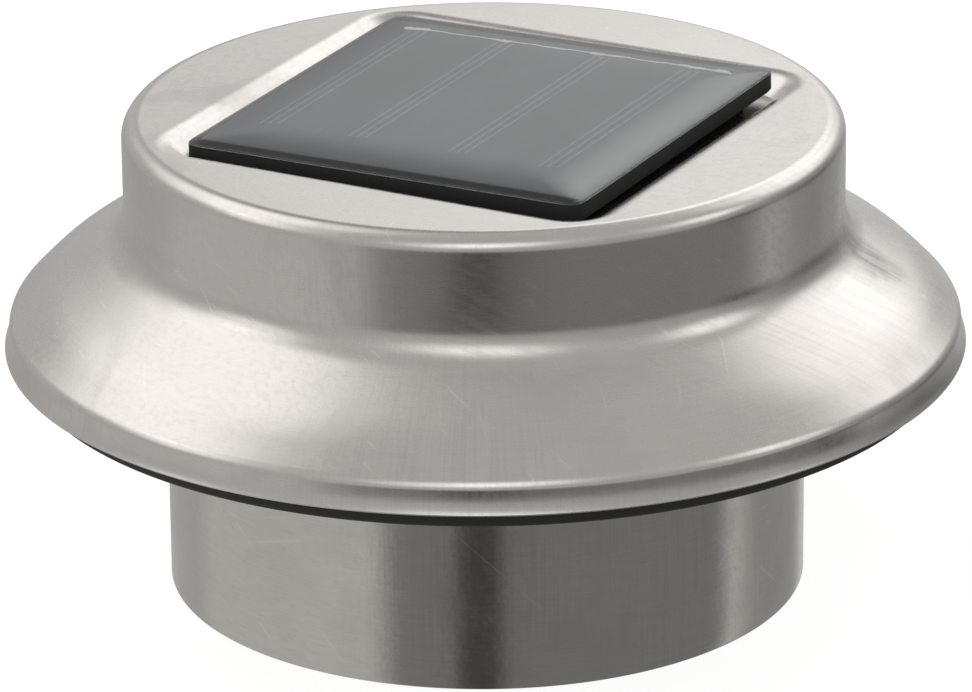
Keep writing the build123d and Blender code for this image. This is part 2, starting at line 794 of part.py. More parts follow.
# ---- battery ---------------------------------------------------------------------
def make_battery_tray():
    """Tub that opens downwards, with a screw ear at each end."""
    tub = Box(
        2 * cover_half_length,
        2 * cover_half_width,
        bay_top_z + tray_wall - well_top_z,
        align=seated,
    )
    tub = Pos(0, battery_y, well_top_z) * tub
    tub = fillet(tub.edges().group_by(Axis.Z)[-1], tray_edge_round)
    flange = extrude(cover_outline(tray_flange), tray_flange_thickness)
    tub += Pos(0, 0, well_top_z) * flange
    for side in (-1, 1):
        tub += post(side * cover_ear_x, battery_y, well_top_z, cover_ear_radius, cover_boss_height)
    bay = Box(2 * bay_half_length, 2 * bay_half_width, 2 * (bay_top_z - well_top_z))
    tub -= Pos(0, battery_y, well_top_z) * bay
    for side in (-1, 1):
        drill = m2_radius + thread_play
        tub -= post(side * cover_ear_x, battery_y, cover_screw_z, drill, cover_screw_length + drill_room)
        hole = Rot(0, 90, 0) * Cylinder(wire_radius + wire_play, 4 * tray_wall)
        hole_x = side * (bay_half_length + tray_wall / 2)
        tub -= Pos(hole_x, battery_y, battery_z + battery_lead_rise) * hole
    return tub


def battery_end_x():
    """X of the cell's positive end, just clear of its contact."""
    return bay_half_length - contact_thickness - touch


def make_battery_cell():
    """Small rechargeable cell along X, its raised end at +X."""
    body_length = cell_length_aaa - cell_nub_height
    body = extrude(Circle(cell_radius_aaa), body_length)
    body = fillet(body.edges(), 0.5)
    body += Pos(0, 0, body_length) * extrude(Circle(cell_nub_radius), cell_nub_height)
    start_x = battery_end_x() - cell_length_aaa
    return Pos(start_x, battery_y, battery_z) * Rot(0, 90, 0) * body


def make_contact_plates():
    plate = Box(contact_thickness, contact_side, contact_side)
    x = bay_half_length - contact_thickness / 2
    return group(Pos(side * x, battery_y, battery_z) * plate for side in (-1, 1))


def make_contact_spring():
    """Coil that presses the cell onto its far contact, made of half turns.

    Each half turn is a semicircle that also advances by half a pitch, so one runs
    smoothly into the next.
    """
    start = -bay_half_length + contact_thickness + touch + spring_wire / 2
    end = battery_end_x() - cell_length_aaa - touch - spring_wire / 2
    halves = 2 * spring_turns
    step = (end - start) / halves
    path = Curve()
    for i in range(halves):
        side = 1 if i % 2 == 0 else -1
        a = (start + i * step, 0, side * spring_radius)
        b = (start + (i + 1) * step, 0, -side * spring_radius)
        middle = (start + (i + 0.5) * step, side * hypot(spring_radius, step / 2), 0)
        path += ThreePointArc(a, middle, b)
    print(f"contact spring: gap between turns {2 * step - spring_wire:.2f}")
    section = Plane(origin=path @ 0, z_dir=path % 0) * Circle(spring_wire / 2)
    return Pos(0, battery_y, battery_z) * sweep(section, path=path)


def make_battery_cover():
    """Flush cover with shallow finger ribs and a countersunk screw hole in each ear."""
    thickness = plate_thickness - touch
    cover = Pos(0, 0, well_z) * extrude(cover_outline(0), thickness)
    for i in range(cover_rib_count):
        x = (i - (cover_rib_count - 1) / 2) * 2.4 * cover_rib_width
        groove = Box(cover_rib_width, cover_half_width * 1.3, 2 * cover_rib_depth)
        cover -= Pos(x, battery_y, well_z) * groove
    for side in (-1, 1):
        x = side * cover_ear_x
        cover -= post(x, battery_y, well_z - 1, m2_radius + touch, 2 * plate_thickness)
        cover -= post(x, battery_y, well_z - 1, m2_head_radius + touch, 1 + m2_head_height / 2)
    return cover


def make_cover_screws():
    """Captive screws of the battery cover."""
    screw = pan_screw(m2_radius, cover_screw_length, m2_head_radius, m2_head_height)
    return group(Pos(side * cover_ear_x, battery_y, cover_screw_z) * screw for side in (-1, 1))


# ---- wires -----------------------------------------------------------------------
def solar_lead(side):
    """Wire from the panel, through the grommet and the housing's roof, to the board."""
    x = side * (wire_radius + wire_play)
    foot_x = side * panel_lead_spread
    foot_y = grommet_y - panel_lead_shift
    low = housing_top_z - panel_lead_drop
    return wire(
        (x, grommet_y, panel_bottom_z - panel_lead_room),
        (x, grommet_y, low),
        (foot_x, foot_y, low - panel_lead_spread_drop),
        (foot_x, foot_y, board_top_z + touch),
    )


def battery_lead(side):
    """Wire from the board over the tray's end to the contact inside it."""
    foot_x = side * battery_lead_foot_x
    out_x = side * (cover_half_length + battery_lead_out)
    high = bay_top_z + tray_wall + battery_lead_over
    hole_z = battery_z + battery_lead_rise
    contact_x = side * (bay_half_length + touch)
    return wire(
        (foot_x, battery_lead_foot_y, board_top_z + touch),
        (foot_x, battery_lead_foot_y, high),
        (out_x, battery_y, high),
        (out_x, battery_y, hole_z),
        (contact_x, battery_y, hole_z),
        bend=battery_lead_bend,
    )


def make_switch_leads():
    """Two wires from the top of the switch to the front edge of the board."""
    low = well_top_z + switch_height + touch
    high = board_top_z + switch_lead_rise
    board_y = board_centre_y - board_width / 2 + switch_lead_inset
    return group(
        wire(
            (side * switch_lead_x, switch_y, low),
            (side * switch_lead_x, switch_y, high),
            (side * switch_lead_foot_x, board_y, high),
            (side * switch_lead_foot_x, board_y, board_top_z + touch),
        )
        for side in (-1, 1)
    )


# ---- clamp bracket ---------------------------------------------------------------
def make_mount_bracket():
    """Strip under the plate that turns down behind the brim into a leg."""
    corner_y = leg_y + strip_thickness
    top = sleeve_height - touch
    line = [(strip_start_y, top), (corner_y, top), (corner_y, leg_bottom_z)]
    profile = bent_sheet(line, [strip_bend], strip_thickness)
    strip = extrude(Plane.YZ * profile, strip_width / 2, both=True)
    ends = [
        e
        for e in strip.edges()
        if abs(abs(e.center().X) - strip_width / 2) < 0.01
        and (e.center().Z < leg_bottom_z + 0.01 or e.center().Y < strip_start_y + 0.01)
    ]
    strip = fillet(ends, strip_corner)
    for side in (-1, 1):
        x = side * bracket_screw_x
        strip -= post(x, bracket_screw_y, strip_z - 1, m4_radius + hole_play, strip_thickness + 2)
    return strip - clamp_rod(clamp_screw_radius + hole_play, leg_y - 1, strip_thickness + 2)


def clamp_rod(radius, y, length):
    """Cylinder on the clamp screw's axis that starts at y and runs away from the lamp."""
    return Pos(0, y, clamp_z) * Rot(-90, 0, 0) * extrude(Circle(radius), length)


def make_bracket_screws():
    screw = pan_screw(m4_radius, bracket_screw_length(), m4_head_radius, m4_head_height)
    x, y, z = bracket_screw_x, bracket_screw_y, bracket_screw_z
    return group(Pos(side * x, y, z) * screw for side in (-1, 1))


def make_grip_pad():
    """Rubber block on the back of the sleeve: hollow against the sleeve, flat to the board."""
    depth = grip_face_y - sleeve_radius * 0.9
    block = Box(2 * grip_half_width, depth, grip_height, align=(Align.CENTER, Align.MAX, Align.MIN))
    block = Pos(0, grip_face_y, grip_low_z) * block
    block -= disc(sleeve_radius + touch, 0, grip_low_z + 2 * grip_height)
    for i in range(3):
        z = grip_low_z + grip_height * (i + 1) / 4
        block -= Pos(0, grip_face_y, z) * Box(3 * grip_half_width, 1.2, 1.2)
    return block


def make_clamp_nut():
    """Hexagon nut welded to the outside of the leg."""
    nut = extrude(RegularPolygon(clamp_nut_radius, 6), clamp_nut_height)
    nut = Pos(0, leg_y + strip_thickness, clamp_z) * Rot(-90, 0, 0) * nut
    return nut - clamp_rod(clamp_screw_radius + thread_play, leg_y, 4 * clamp_nut_height)


def make_pressure_pad():
    """Round plate with a boss, bored for the tip of the clamp screw."""
    plate_y = rubber_face_y + pad_rubber
    pad = clamp_rod(pad_radius, plate_y, pad_plate)
    pad += clamp_rod(pad_boss_radius, plate_y, pad_plate + pad_boss_height)
    bore_y = pad_back_y - tip_length - touch
    return pad - clamp_rod(tip_radius + thread_play, bore_y, 2 * tip_length)


def make_pad_face():
    """Rubber face of the pressure pad, with one round groove."""
    face = clamp_rod(pad_radius, rubber_face_y, pad_rubber - touch)
    groove = clamp_rod(pad_radius * 0.62, rubber_face_y - 1, 1.4)
    return face - (groove - clamp_rod(pad_radius * 0.42, rubber_face_y - 2, 4))


def make_clamp_screw():
    """Threaded rod with a plain tip in the pad; its far end sits in the knob."""
    rod = clamp_rod(tip_radius, pad_back_y - tip_length, tip_length + 1)
    rod_y = pad_back_y + 0.4
    rod_end = knob_y + knob_length * 0.7
    rod += clamp_rod(clamp_screw_radius, rod_y, rod_end - rod_y)
    return rod


def make_clamp_knob():
    """Fluted knob moulded on the rod."""
    knob = extrude(Circle(knob_radius), knob_length)
    knob = fillet(knob.edges(), knob_edge_round)
    for i in range(knob_flute_count):
        x, y = polar(knob_radius + knob_flute_radius * 0.35, 360 / knob_flute_count * i)
        knob -= post(x, y, -1, knob_flute_radius, knob_length + 2)
    knob = Pos(0, knob_y, clamp_z) * Rot(-90, 0, 0) * knob
    return knob - clamp_rod(clamp_screw_radius, knob_y - 1, 1 + knob_length * 0.7)


# ---- the whole light -------------------------------------------------------------
parts = {
    "hat_shell": make_hat_shell(),
    "solar_backing": make_solar_backing(),
    "solar_cells": make_solar_cells(),
    "cell_ribbon": make_cell_ribbon(),
    "resin_cover": make_resin_cover(),
    "panel_pad": make_panel_pad(),
    "lead_grommet": make_lead_grommet(),
    "inner_housing": make_inner_housing(),
    "bond_ring": make_bond_ring(),
    "housing_gasket": make_housing_gasket(),
    "housing_screws": make_housing_screws(),
    "base_plate": make_base_plate(),
    "sleeve": make_sleeve(),
    "sleeve_screws": make_sleeve_screws(),
    "lens": make_lens(),
    "lens_gasket": make_lens_gasket(),
    "reflector": make_reflector(),
    "leds": make_leds(),
    "circuit_board": make_circuit_board(),
    "board_screws": make_board_screws(),
    "inductor": make_inductor(),
    "capacitor": make_capacitor(),
    "driver_chip": make_driver_chip(),
    "switch_body": make_switch_body(),
    "switch_slider": make_switch_slider(),
    "switch_screws": make_switch_screws(),
    "switch_leads": make_switch_leads(),
    "battery_tray": make_battery_tray(),
    "battery_cell": make_battery_cell(),
    "contact_plates": make_contact_plates(),
    "contact_spring": make_contact_spring(),
    "battery_cover": make_battery_cover(),
    "cover_screws": make_cover_screws(),
    "solar_lead_red": solar_lead(1),
    "solar_lead_black": solar_lead(-1),
    "battery_lead_red": battery_lead(1),
    "battery_lead_black": battery_lead(-1),
    "mount_bracket": make_mount_bracket(),
    "bracket_screws": make_bracket_screws(),
    "grip_pad": make_grip_pad(),
    "clamp_nut": make_clamp_nut(),
    "clamp_screw": make_clamp_screw(),
    "clamp_knob": make_clamp_knob(),
    "pressure_pad": make_pressure_pad(),
    "pad_face": make_pad_face(),
}

os.makedirs("parts", exist_ok=True)
for node, shape in parts.items():
    export_step(shape, f"parts/{node}.step")
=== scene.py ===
"""Dresses the round solar fence light: finishes, fine shapes, camera and studio.

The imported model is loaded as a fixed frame. Lengths are in millimetres and are turned into
metres where a mesh is written; only those in materials and of the lamp above are in metres.
+Z is up, the light's axis is Z, and +Y points to the fence.
"""

from __future__ import annotations

import logging
import math
from dataclasses import dataclass
from enum import Enum
from typing import Any, Callable, Sequence

import bpy
import numpy as np
from mathutils import Matrix, Vector


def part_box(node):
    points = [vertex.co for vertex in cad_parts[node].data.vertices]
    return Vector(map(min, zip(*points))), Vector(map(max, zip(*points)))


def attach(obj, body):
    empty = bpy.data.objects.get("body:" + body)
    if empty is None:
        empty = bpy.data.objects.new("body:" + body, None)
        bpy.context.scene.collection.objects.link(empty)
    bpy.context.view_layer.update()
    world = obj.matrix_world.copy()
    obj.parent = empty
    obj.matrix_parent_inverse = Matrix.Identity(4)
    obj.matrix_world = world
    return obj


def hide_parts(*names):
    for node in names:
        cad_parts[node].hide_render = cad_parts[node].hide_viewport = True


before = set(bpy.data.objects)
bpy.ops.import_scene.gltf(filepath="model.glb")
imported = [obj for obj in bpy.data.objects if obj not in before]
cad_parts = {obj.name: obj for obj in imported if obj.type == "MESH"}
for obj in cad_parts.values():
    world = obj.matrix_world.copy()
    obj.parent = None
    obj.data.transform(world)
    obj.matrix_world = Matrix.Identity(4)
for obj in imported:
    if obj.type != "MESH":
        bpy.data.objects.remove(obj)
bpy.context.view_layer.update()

LOG = logging.getLogger("fence_light")
MM = 0.001
TURN = 2.0 * math.pi
TINY = 1e-9  # keeps a division from meeting zero
CORNER_PULL = 0.21  # how strongly the hat's columns gather at the recess's corners
UV_NAME = "Brushing"
UV_RUN = 45.0  # millimetres of run for one unit of V
FLANGE_WIDTH = 7.8  # of the sleeve's flange beyond its wall
Array = np.ndarray
Triple = tuple[float, float, float]
Piece = bpy.types.Object
Socket = bpy.types.NodeSocket


# ---- meshes from grids ---------------------------------------------------------------
class Closing(Enum):
    """How a grid's rows or columns end."""

    OPEN = "open"
    LOOP = "loop"


def corner_angles(columns: int) -> Array:
    """Angles of a full turn from +Y, closest together at the diagonals.

    The angle for an even turn t is t + CORNER_PULL * sin(4 * t). The recess has its corners
    at the diagonals.
    """
    even = np.arange(columns) * TURN / columns
    return math.pi / 2 + even + CORNER_PULL * np.sin(4 * even)


def grid_faces(rows: int, columns: int, across: Closing, down: Closing) -> Array:
    """Corner numbers of a grid's four-sided faces.

    Point (i, j) of the grid has the number i * columns + j. A face joins it to its
    neighbours in the next column and row, and a loop joins the last to the first.

    Args:
        rows: number of rows.
        columns: number of columns.
        across: whether each row closes on itself.
        down: whether each column closes on itself.

    Returns:
        One row of four corner numbers for each face.
    """
    i = np.arange(rows if down is Closing.LOOP else rows - 1)
    j = np.arange(columns if across is Closing.LOOP else columns - 1)
    i, j = np.meshgrid(i, j, indexing="ij")
    next_i, next_j = (i + 1) % rows, (j + 1) % columns
    pairs = ((i, j), (i, next_j), (next_i, next_j), (next_i, j))
    return np.stack([row * columns + column for row, column in pairs], -1).reshape(-1, 4)


def new_object(name: str, points: Array, faces: Array, smooth: bool = True) -> Piece:
    """Object at the origin whose place is in its mesh.

    Args:
        name: the object's name.
        points: its points in millimetres.
        faces: corner numbers, one row for each face.
        smooth: whether its faces are shaded as one curved surface.

    Returns:
        The new object, linked to the scene.
    """
    mesh = bpy.data.meshes.new(name)
    mesh.from_pydata((points.reshape(-1, 3) * MM).tolist(), [], faces.tolist())
    mesh.polygons.foreach_set("use_smooth", np.full(len(mesh.polygons), smooth))
    mesh.update()
    made = bpy.data.objects.new(name, mesh)
    bpy.context.collection.objects.link(made)
    return made


def set_uv(obj: Piece, uv: Array) -> None:
    """Writes one UV pair for each face corner, in the order of the mesh's loops."""
    layer = obj.data.uv_layers.new(name=UV_NAME)
    layer.data.foreach_set("uv", np.ascontiguousarray(uv, dtype=np.float32).ravel())


def set_vector(obj: Piece, name: str, values: Array) -> None:
    """Writes a vector attribute, one value for each point of the mesh."""
    layer = obj.data.attributes.new(name, "FLOAT_VECTOR", "POINT")
    layer.data.foreach_set("vector", np.ascontiguousarray(values, dtype=np.float32).ravel())


def run_length(line: Array) -> Array:
    """Distance along an open line from its first point to each of its points."""
    steps = np.hypot(*np.diff(line[:, :2], axis=0).T)
    return np.concatenate([[0.0], np.cumsum(steps)])


def rounded_line(
    corners: Sequence[tuple[float, float]], radii: Sequence[float], steps: int
) -> Array:
    """Open line through corners, each inner corner rounded by an arc.

    The arc of radius q at a corner that turns by t starts q * tan(t / 2) before the corner
    and ends as far after it. Its points stand at equal angles about the arc's centre.

    Args:
        corners: the corner points.
        radii: one radius for each inner corner.
        steps: number of arc pieces at each corner.

    Returns:
        The line's points, one a row.
    """
    points = [np.array(corners[0], float)]
    for a, b, c, radius in zip(corners, corners[1:], corners[2:], radii):
        a, b, c = (np.array(q, float) for q in (a, b, c))
        before, after = (b - a) / np.linalg.norm(b - a), (c - b) / np.linalg.norm(c - b)
        cross = before[0] * after[1] - before[1] * after[0]
        turn = math.atan2(cross, float(before @ after))
        start = b - before * radius * math.tan(abs(turn) / 2)
        side = np.array([-before[1], before[0]]) * math.copysign(1.0, turn)
        centre = start + side * radius
        angles = np.linspace(0.0, turn, steps + 1)
        (x, y), cosines, sines = start - centre, np.cos(angles), np.sin(angles)
        points.extend(centre + np.stack([x * cosines - y * sines, x * sines + y * cosines], -1))
    points.append(np.array(corners[-1], float))
    return np.array(points)


def densify(line: Array, longest: float) -> Array:
    """The same line with points added so that no run is longer than a length."""
    out = [line[:1]]
    for a, b in zip(line, line[1:]):
        count = max(1, math.ceil(float(np.hypot(*(b - a)[:2])) / longest))
        share = np.arange(1, count + 1)[:, None] / count
        out.append(a + (b - a) * share)
    return np.concatenate(out)


def square_reach(angle: Array, half: Array, corner: Array) -> Array:
    """Distance from the middle to the outline of a square with round corners.

    In the first octant the ray at an angle a meets the straight side at half / cos(a),
    unless that point lies past the side's end, where it meets the corner's circle: with
    the circle's middle at distance m along the diagonal, the reach is
    m * cos(a - 45 deg) + sqrt(corner^2 - (m * sin(a - 45 deg))^2).

    Args:
        angle: directions in radians.
        half: half the square's side.
        corner: the corner radius, smaller than half.

    Returns:
        The reach in each direction, in the shape that the arguments broadcast to.
    """
    folded = np.abs((angle + math.pi / 4) % (math.pi / 2) - math.pi / 4)
    side = half / np.cos(folded)
    middle = (half - corner) * math.sqrt(2)
    lean = folded - math.pi / 4
    inside = np.maximum(corner**2 - (middle * np.sin(lean)) ** 2, 0.0)
    curve = middle * np.cos(lean) + np.sqrt(inside)
    return np.where(side * np.sin(folded) > half - corner, curve, side)


def revolve(name: str, profile: Array, columns: int) -> Piece:
    """Surface that a closed line (radius, height) sweeps in a full turn about Z.

    Row i is the circle of the line's point i and column j stands at the angle
    j / columns of a turn, measured from the fence side.

    Args:
        name: the object's name.
        profile: the line's points, in an order that has the outside on its right.
        columns: number of points in a circle.

    Returns:
        The new object, with its brushing.
    """
    angle = math.pi / 2 + np.arange(columns) * TURN / columns
    radius, height = profile[:, :1], profile[:, 1:2]
    x, y = radius * np.cos(angle), radius * np.sin(angle)
    points = np.stack([x, y, np.broadcast_to(height, x.shape)], -1)
    faces = grid_faces(len(profile), columns, Closing.LOOP, Closing.LOOP)
    made = new_object(name, points, faces[:, ::-1])
    add_brushing(made, run_length(profile), columns)
    return made


def add_brushing(obj: Piece, run: Array, columns: int) -> None:
    """Writes the brushing attribute (run, x / r, y / r) and the UV map (turn, run).

    Args:
        obj: a grid about Z whose rows are rings.
        run: each row's distance across the brushing.
        columns: number of points in a ring.
    """
    points = np.empty(len(obj.data.vertices) * 3, dtype=np.float32)
    obj.data.vertices.foreach_get("co", points)
    flat = points.reshape(-1, 3)[:, :2]
    size = np.maximum(np.hypot(*flat.T), TINY)[:, None]
    along = np.repeat(run, columns)
    set_vector(obj, "brushing", np.column_stack([along, flat / size]))
    corner = np.empty(len(obj.data.loops), dtype=np.int32)
    obj.data.loops.foreach_get("vertex_index", corner)
    turn = ((corner % columns) / columns).reshape(-1, 4)
    split = (turn.max(1) - turn.min(1) > 0.5)[:, None]  # faces that join the last to the first
    wrapped = np.where(split & (turn < 0.5), turn + 1, turn)
    set_uv(obj, np.column_stack([wrapped.ravel() * TURN, along[corner] / UV_RUN]))


# ---- node trees ----------------------------------------------------------------------
class Tree:
    """Short way to build a node tree."""

    def __init__(self, owner: Any) -> None:
        """Empties the owner's node tree."""
        owner.use_nodes = True
        self.tree = owner.node_tree
        self.tree.nodes.clear()

    def add(
        self, kind: str, inputs: dict[Any, Any] | None = None, **settings: Any
    ) -> bpy.types.Node:
        """Adds a node.

        Args:
            kind: the node's type, without the leading ShaderNode.
            inputs: sockets by name or number, each with a value or another socket.
            settings: the node's own settings.

        Returns:
            The new node.
        """
        node = self.tree.nodes.new("ShaderNode" + kind)
        for key, value in settings.items():
            setattr(node, key, value)
        for key, value in (inputs or {}).items():
            if isinstance(value, Socket):
                self.tree.links.new(value, node.inputs[key])
            else:
                node.inputs[key].default_value = value
        return node

    def maths(self, operation: str, *values: Any) -> Socket:
        """Result of a Math node on numbers or sockets."""
        return self.add("Math", dict(enumerate(values)), operation=operation).outputs[0]

    def vector(self, operation: str, *values: Any) -> Socket:
        """Vector result of a Vector Math node."""
        made = self.add("VectorMath", dict(enumerate(values)), operation=operation)
        return made.outputs["Vector"]

    def dot(self, a: Any, b: Any) -> Socket:
        """Dot product of two vectors."""
        return self.add("VectorMath", {0: a, 1: b}, operation="DOT_PRODUCT").outputs["Value"]

    def noise(
        self, vector: Any, scale: float, detail: float, rough: float, warp: float = 0.0
    ) -> Socket:
        """Grey noise between 0 and 1 at a vector."""
        inputs = {"Vector": vector, "Scale": scale, "Detail": detail}
        inputs |= {"Roughness": rough, "Distortion": warp}
        return self.add("TexNoise", inputs).outputs["Fac"]

    def ramp(
        self, value: Any, low: float, high: float, to_low: float = 0.0, to_high: float = 1.0
    ) -> Socket:
        """Value mapped smoothly from one span to another and held at its ends."""
        inputs = {"Value": value, "From Min": low, "From Max": high}
        inputs |= {"To Min": to_low, "To Max": to_high}
        made = self.add("MapRange", inputs, interpolation_type="SMOOTHSTEP", clamp=True)
        return made.outputs["Result"]

    def blend(self, share: Any, a: Any, b: Any) -> Socket:
        """Colour between two colours."""
        return self.add("Mix", {0: share, 6: a, 7: b}, data_type="RGBA").outputs[2]

    def scaled(self, vector: Any, factors: Sequence[float]) -> Socket:
        """Vector multiplied part by part."""
        return self.vector("MULTIPLY", vector, tuple(factors))

    def place(self) -> Socket:
        """The point in the object's own coordinates, in metres."""
        return self.add("TexCoord").outputs["Object"]

    def bump(
        self, height: Any, strength: float, distance_mm: float, normal: Any = None
    ) -> Socket:
        """Normal tilted by a height."""
        inputs = {"Height": height, "Strength": strength, "Distance": distance_mm * MM}
        if normal is not None:
            inputs["Normal"] = normal
        return self.add("Bump", inputs).outputs["Normal"]

    def surface(self, colour: Any, rough: Any, more: dict[str, Any]) -> None:
        """Principled surface joined to the material's output."""
        shader = self.add("BsdfPrincipled", {"Base Color": colour, "Roughness": rough, **more})
        self.add("OutputMaterial", {"Surface": shader.outputs[0]})


def rgba(colour: Triple, factor: float = 1.0) -> tuple[float, float, float, float]:
    """Colour with full cover, made lighter or darker by a factor."""
    return (colour[0] * factor, colour[1] * factor, colour[2] * factor, 1.0)


# ---- finishes ------------------------------------------------------------------------
MADE: dict[str, bpy.types.Material] = {}


@dataclass(frozen=True)
class Finish:
    """A named surface that can dress a piece."""

    name: str
    colour: Triple
    roughness: float

    def material(self) -> bpy.types.Material:
        """The finish's material, made once."""
        if self.name not in MADE:
            MADE[self.name] = bpy.data.materials.new("look_" + self.name)
            self.fill(Tree(MADE[self.name]))
        return MADE[self.name]

    def fill(self, tree: Tree) -> None:
        """Builds the nodes of the finish."""
        raise NotImplementedError

    def dress(self, obj: Piece) -> None:
        """Puts the material on every slot of an object."""
        made = self.material()
        if obj.data.materials:
            for slot in obj.material_slots:
                slot.material = made
        else:
            obj.data.materials.append(made)


# Marks of the turned steel: direction and seed, and for the rubbing also its noise's scales.
SCRATCH_SETS = (((0.62, 0.35, -0.7), 3.0), ((-0.45, 0.8, 0.42), 9.0), ((0.85, -0.3, 0.35), 17.0))
SCRATCH_SCALES = (26.0, 1500.0, 260.0)
RUB_SETS = (
    ((0.30, -0.55, 0.80), 5.0, (60.0, 1400.0, 900.0)),
    ((0.80, 0.45, -0.45), 8.0, (70.0, 1300.0, 1100.0)),
)


@dataclass(frozen=True)
class TurnedSteel(Finish):
    """Stainless sheet brushed round the lamp's axis.

    The grain is noise in (run across the brushing, direction about the axis), so that a
    streak is a short arc. Lines across it, slanted rubbing, thin scratches, smudges, blots
    and one painted dark reflection, a spot darkened where the steel would mirror something
    dark, lie over the grain, and wide noise makes the satin a little uneven. The depths are
    in millimetres, and the painted reflection's place and reach in metres.
    """

    grain_depth: float = 0.0005
    streak: float = 0.25
    scratch_depth: float = 0.0035
    peel_depth: float = 0.0014
    ripple_depth: float = 0.012
    anisotropy: float = 0.35
    smudge: float = 0.10
    rub: float = 0.023
    # place and reach in metres of the painted dark reflection, a spot of painted shade on the steel
    painted_reflection_at: Triple = (0.0475, 0.0156, 0.0450)
    painted_reflection_reach: float = 0.0070

    def fill(self, tree: Tree) -> None:
        """Builds the nodes of the finish."""
        brushing = tree.add("Attribute", attribute_name="brushing").outputs["Vector"]
        place = tree.place()
        fine = tree.noise(tree.scaled(brushing, (6.0, 9.0, 9.0)), 1.0, 4.0, 0.62)
        hair = tree.noise(tree.scaled(brushing, (30.0, 22.0, 22.0)), 1.0, 2.0, 0.6)
        smudge = tree.ramp(tree.noise(place, 52.0, 2.0, 0.5, 0.8), 0.50, 0.72)
        wide = tree.ramp(tree.noise(place, 17.0, 2.0, 0.5), 0.3, 0.7)
        blot = tree.noise(place, 110.0, 2.0, 0.5, 0.4)
        rub = self.rubbed(tree, place)
        marks, *others = (self.scratches(tree, place, *row) for row in SCRATCH_SETS)
        for other in others:
            marks = tree.maths("MAXIMUM", marks, other)
        rough = tree.maths("MULTIPLY_ADD", smudge, self.smudge, self.roughness)
        rough = tree.maths("MULTIPLY_ADD", marks, 0.05, rough)
        rough = tree.maths("ADD", rough, tree.ramp(hair, 0.35, 0.7, -0.03, 0.04))
        rough = tree.maths("ADD", rough, tree.ramp(rub, 0.35, 0.7, -self.rub, self.rub))
        colour = tree.blend(wide, rgba(self.colour, 0.96), rgba(self.colour, 1.03))
        veils = (
            (tree.maths("MULTIPLY", smudge, 0.6), 0.90),
            (tree.ramp(blot, 0.42, 0.68, 0.0, 0.5), 0.95),
            (tree.ramp(rub, 0.48, 0.75, 0.0, 12.0 * self.rub), 0.88),
            (tree.maths("MULTIPLY", self.crossed(tree, brushing, place), 0.6), 0.90),
            # painted dark reflection: darkens one spot of the steel to 0.42 of its colour
            (self.paint_dark_reflection(tree, place, blot, rub), 0.42),
            (tree.ramp(fine, 0.40, 0.75, 0.0, self.streak), 0.86),
            (tree.maths("MULTIPLY", marks, 0.5), 1.15),
        )
        for share, factor in veils:
            colour = tree.blend(share, colour, rgba(self.colour, factor))
        reliefs = (
            (tree.noise(place, 150.0, 3.0, 0.5), self.ripple_depth),
            (tree.noise(place, 1150.0, 2.0, 0.55), self.peel_depth),
            (fine, self.grain_depth),
            (rub, 0.05 * self.rub),
            (marks, self.scratch_depth),
        )
        more: dict[str, Any] = {"Metallic": 1.0, "Anisotropic": self.anisotropy, "Normal": None}
        for height, depth in reliefs:
            more["Normal"] = tree.bump(height, 1.0, depth, more["Normal"])
        tangent = tree.add("Tangent", direction_type="UV_MAP", uv_map=UV_NAME)
        tree.surface(colour, rough, {**more, "Tangent": tangent.outputs[0]})

    def paint_dark_reflection(self, tree: Tree, place: Any, blot: Any, rub: Any) -> Socket:
        """Painted dark reflection: one dark spot with an uneven edge, broken up by the rubbing."""
        away = tree.add("VectorMath", {0: place, 1: self.painted_reflection_at}, operation="DISTANCE")
        uneven = tree.ramp(blot, 0.3, 0.7, 0.7, 1.5)
        away = tree.maths("MULTIPLY", away.outputs["Value"], uneven)
        near = tree.ramp(away, 0.15 * self.painted_reflection_reach, self.painted_reflection_reach, 1.0, 0.0)
        return tree.maths("MULTIPLY", near, tree.ramp(rub, 0.35, 0.6, 0.55, 1.0))

    @staticmethod
    def crossed(tree: Tree, brushing: Any, place: Any) -> Socket:
        """Faint lines across the brushing, in some areas."""
        lines = tree.noise(tree.scaled(brushing, (0.07, 150.0, 150.0)), 1.0, 2.0, 0.6)
        here = tree.ramp(tree.noise(place, 26.0, 1.0, 0.5), 0.47, 0.60)
        return tree.maths("MULTIPLY", tree.ramp(lines, 0.42, 0.72), here)

    @staticmethod
    def drawn_out(
        tree: Tree, place: Any, along: Triple, seed: float, scales: Triple
    ) -> Socket:
        """The place in scaled axes, the first of which lies along a direction.

        Args:
            tree: the material's tree.
            place: the point in metres.
            along: the direction of the first axis.
            seed: shift of the second axis.
            scales: how many units a metre is along each axis.

        Returns:
            Vector socket for a noise.
        """
        way = Vector(along).normalized()
        side = way.orthogonal().normalized()
        parts = [tree.dot(place, tuple(axis)) for axis in (way, side, way.cross(side))]
        rows = zip(parts, scales, (0.0, seed, 0.0))
        axes = [tree.maths("MULTIPLY_ADD", *row) for row in rows]
        return tree.add("CombineXYZ", dict(enumerate(axes))).outputs[0]

    @staticmethod
    def rubbed(tree: Tree, place: Any) -> Socket:
        """Faint slanted rubbing: two noises drawn out along different directions, by areas."""
        spots = (TurnedSteel.drawn_out(tree, place, *row) for row in RUB_SETS)
        first, other = (tree.noise(spot, 1.0, 2.0, 0.6) for spot in spots)
        share = tree.ramp(tree.noise(place, 30.0, 2.0, 0.5), 0.42, 0.58)
        other = tree.maths("MULTIPLY", other, tree.maths("SUBTRACT", 1.0, share))
        return tree.maths("ADD", tree.maths("MULTIPLY", first, share), other)

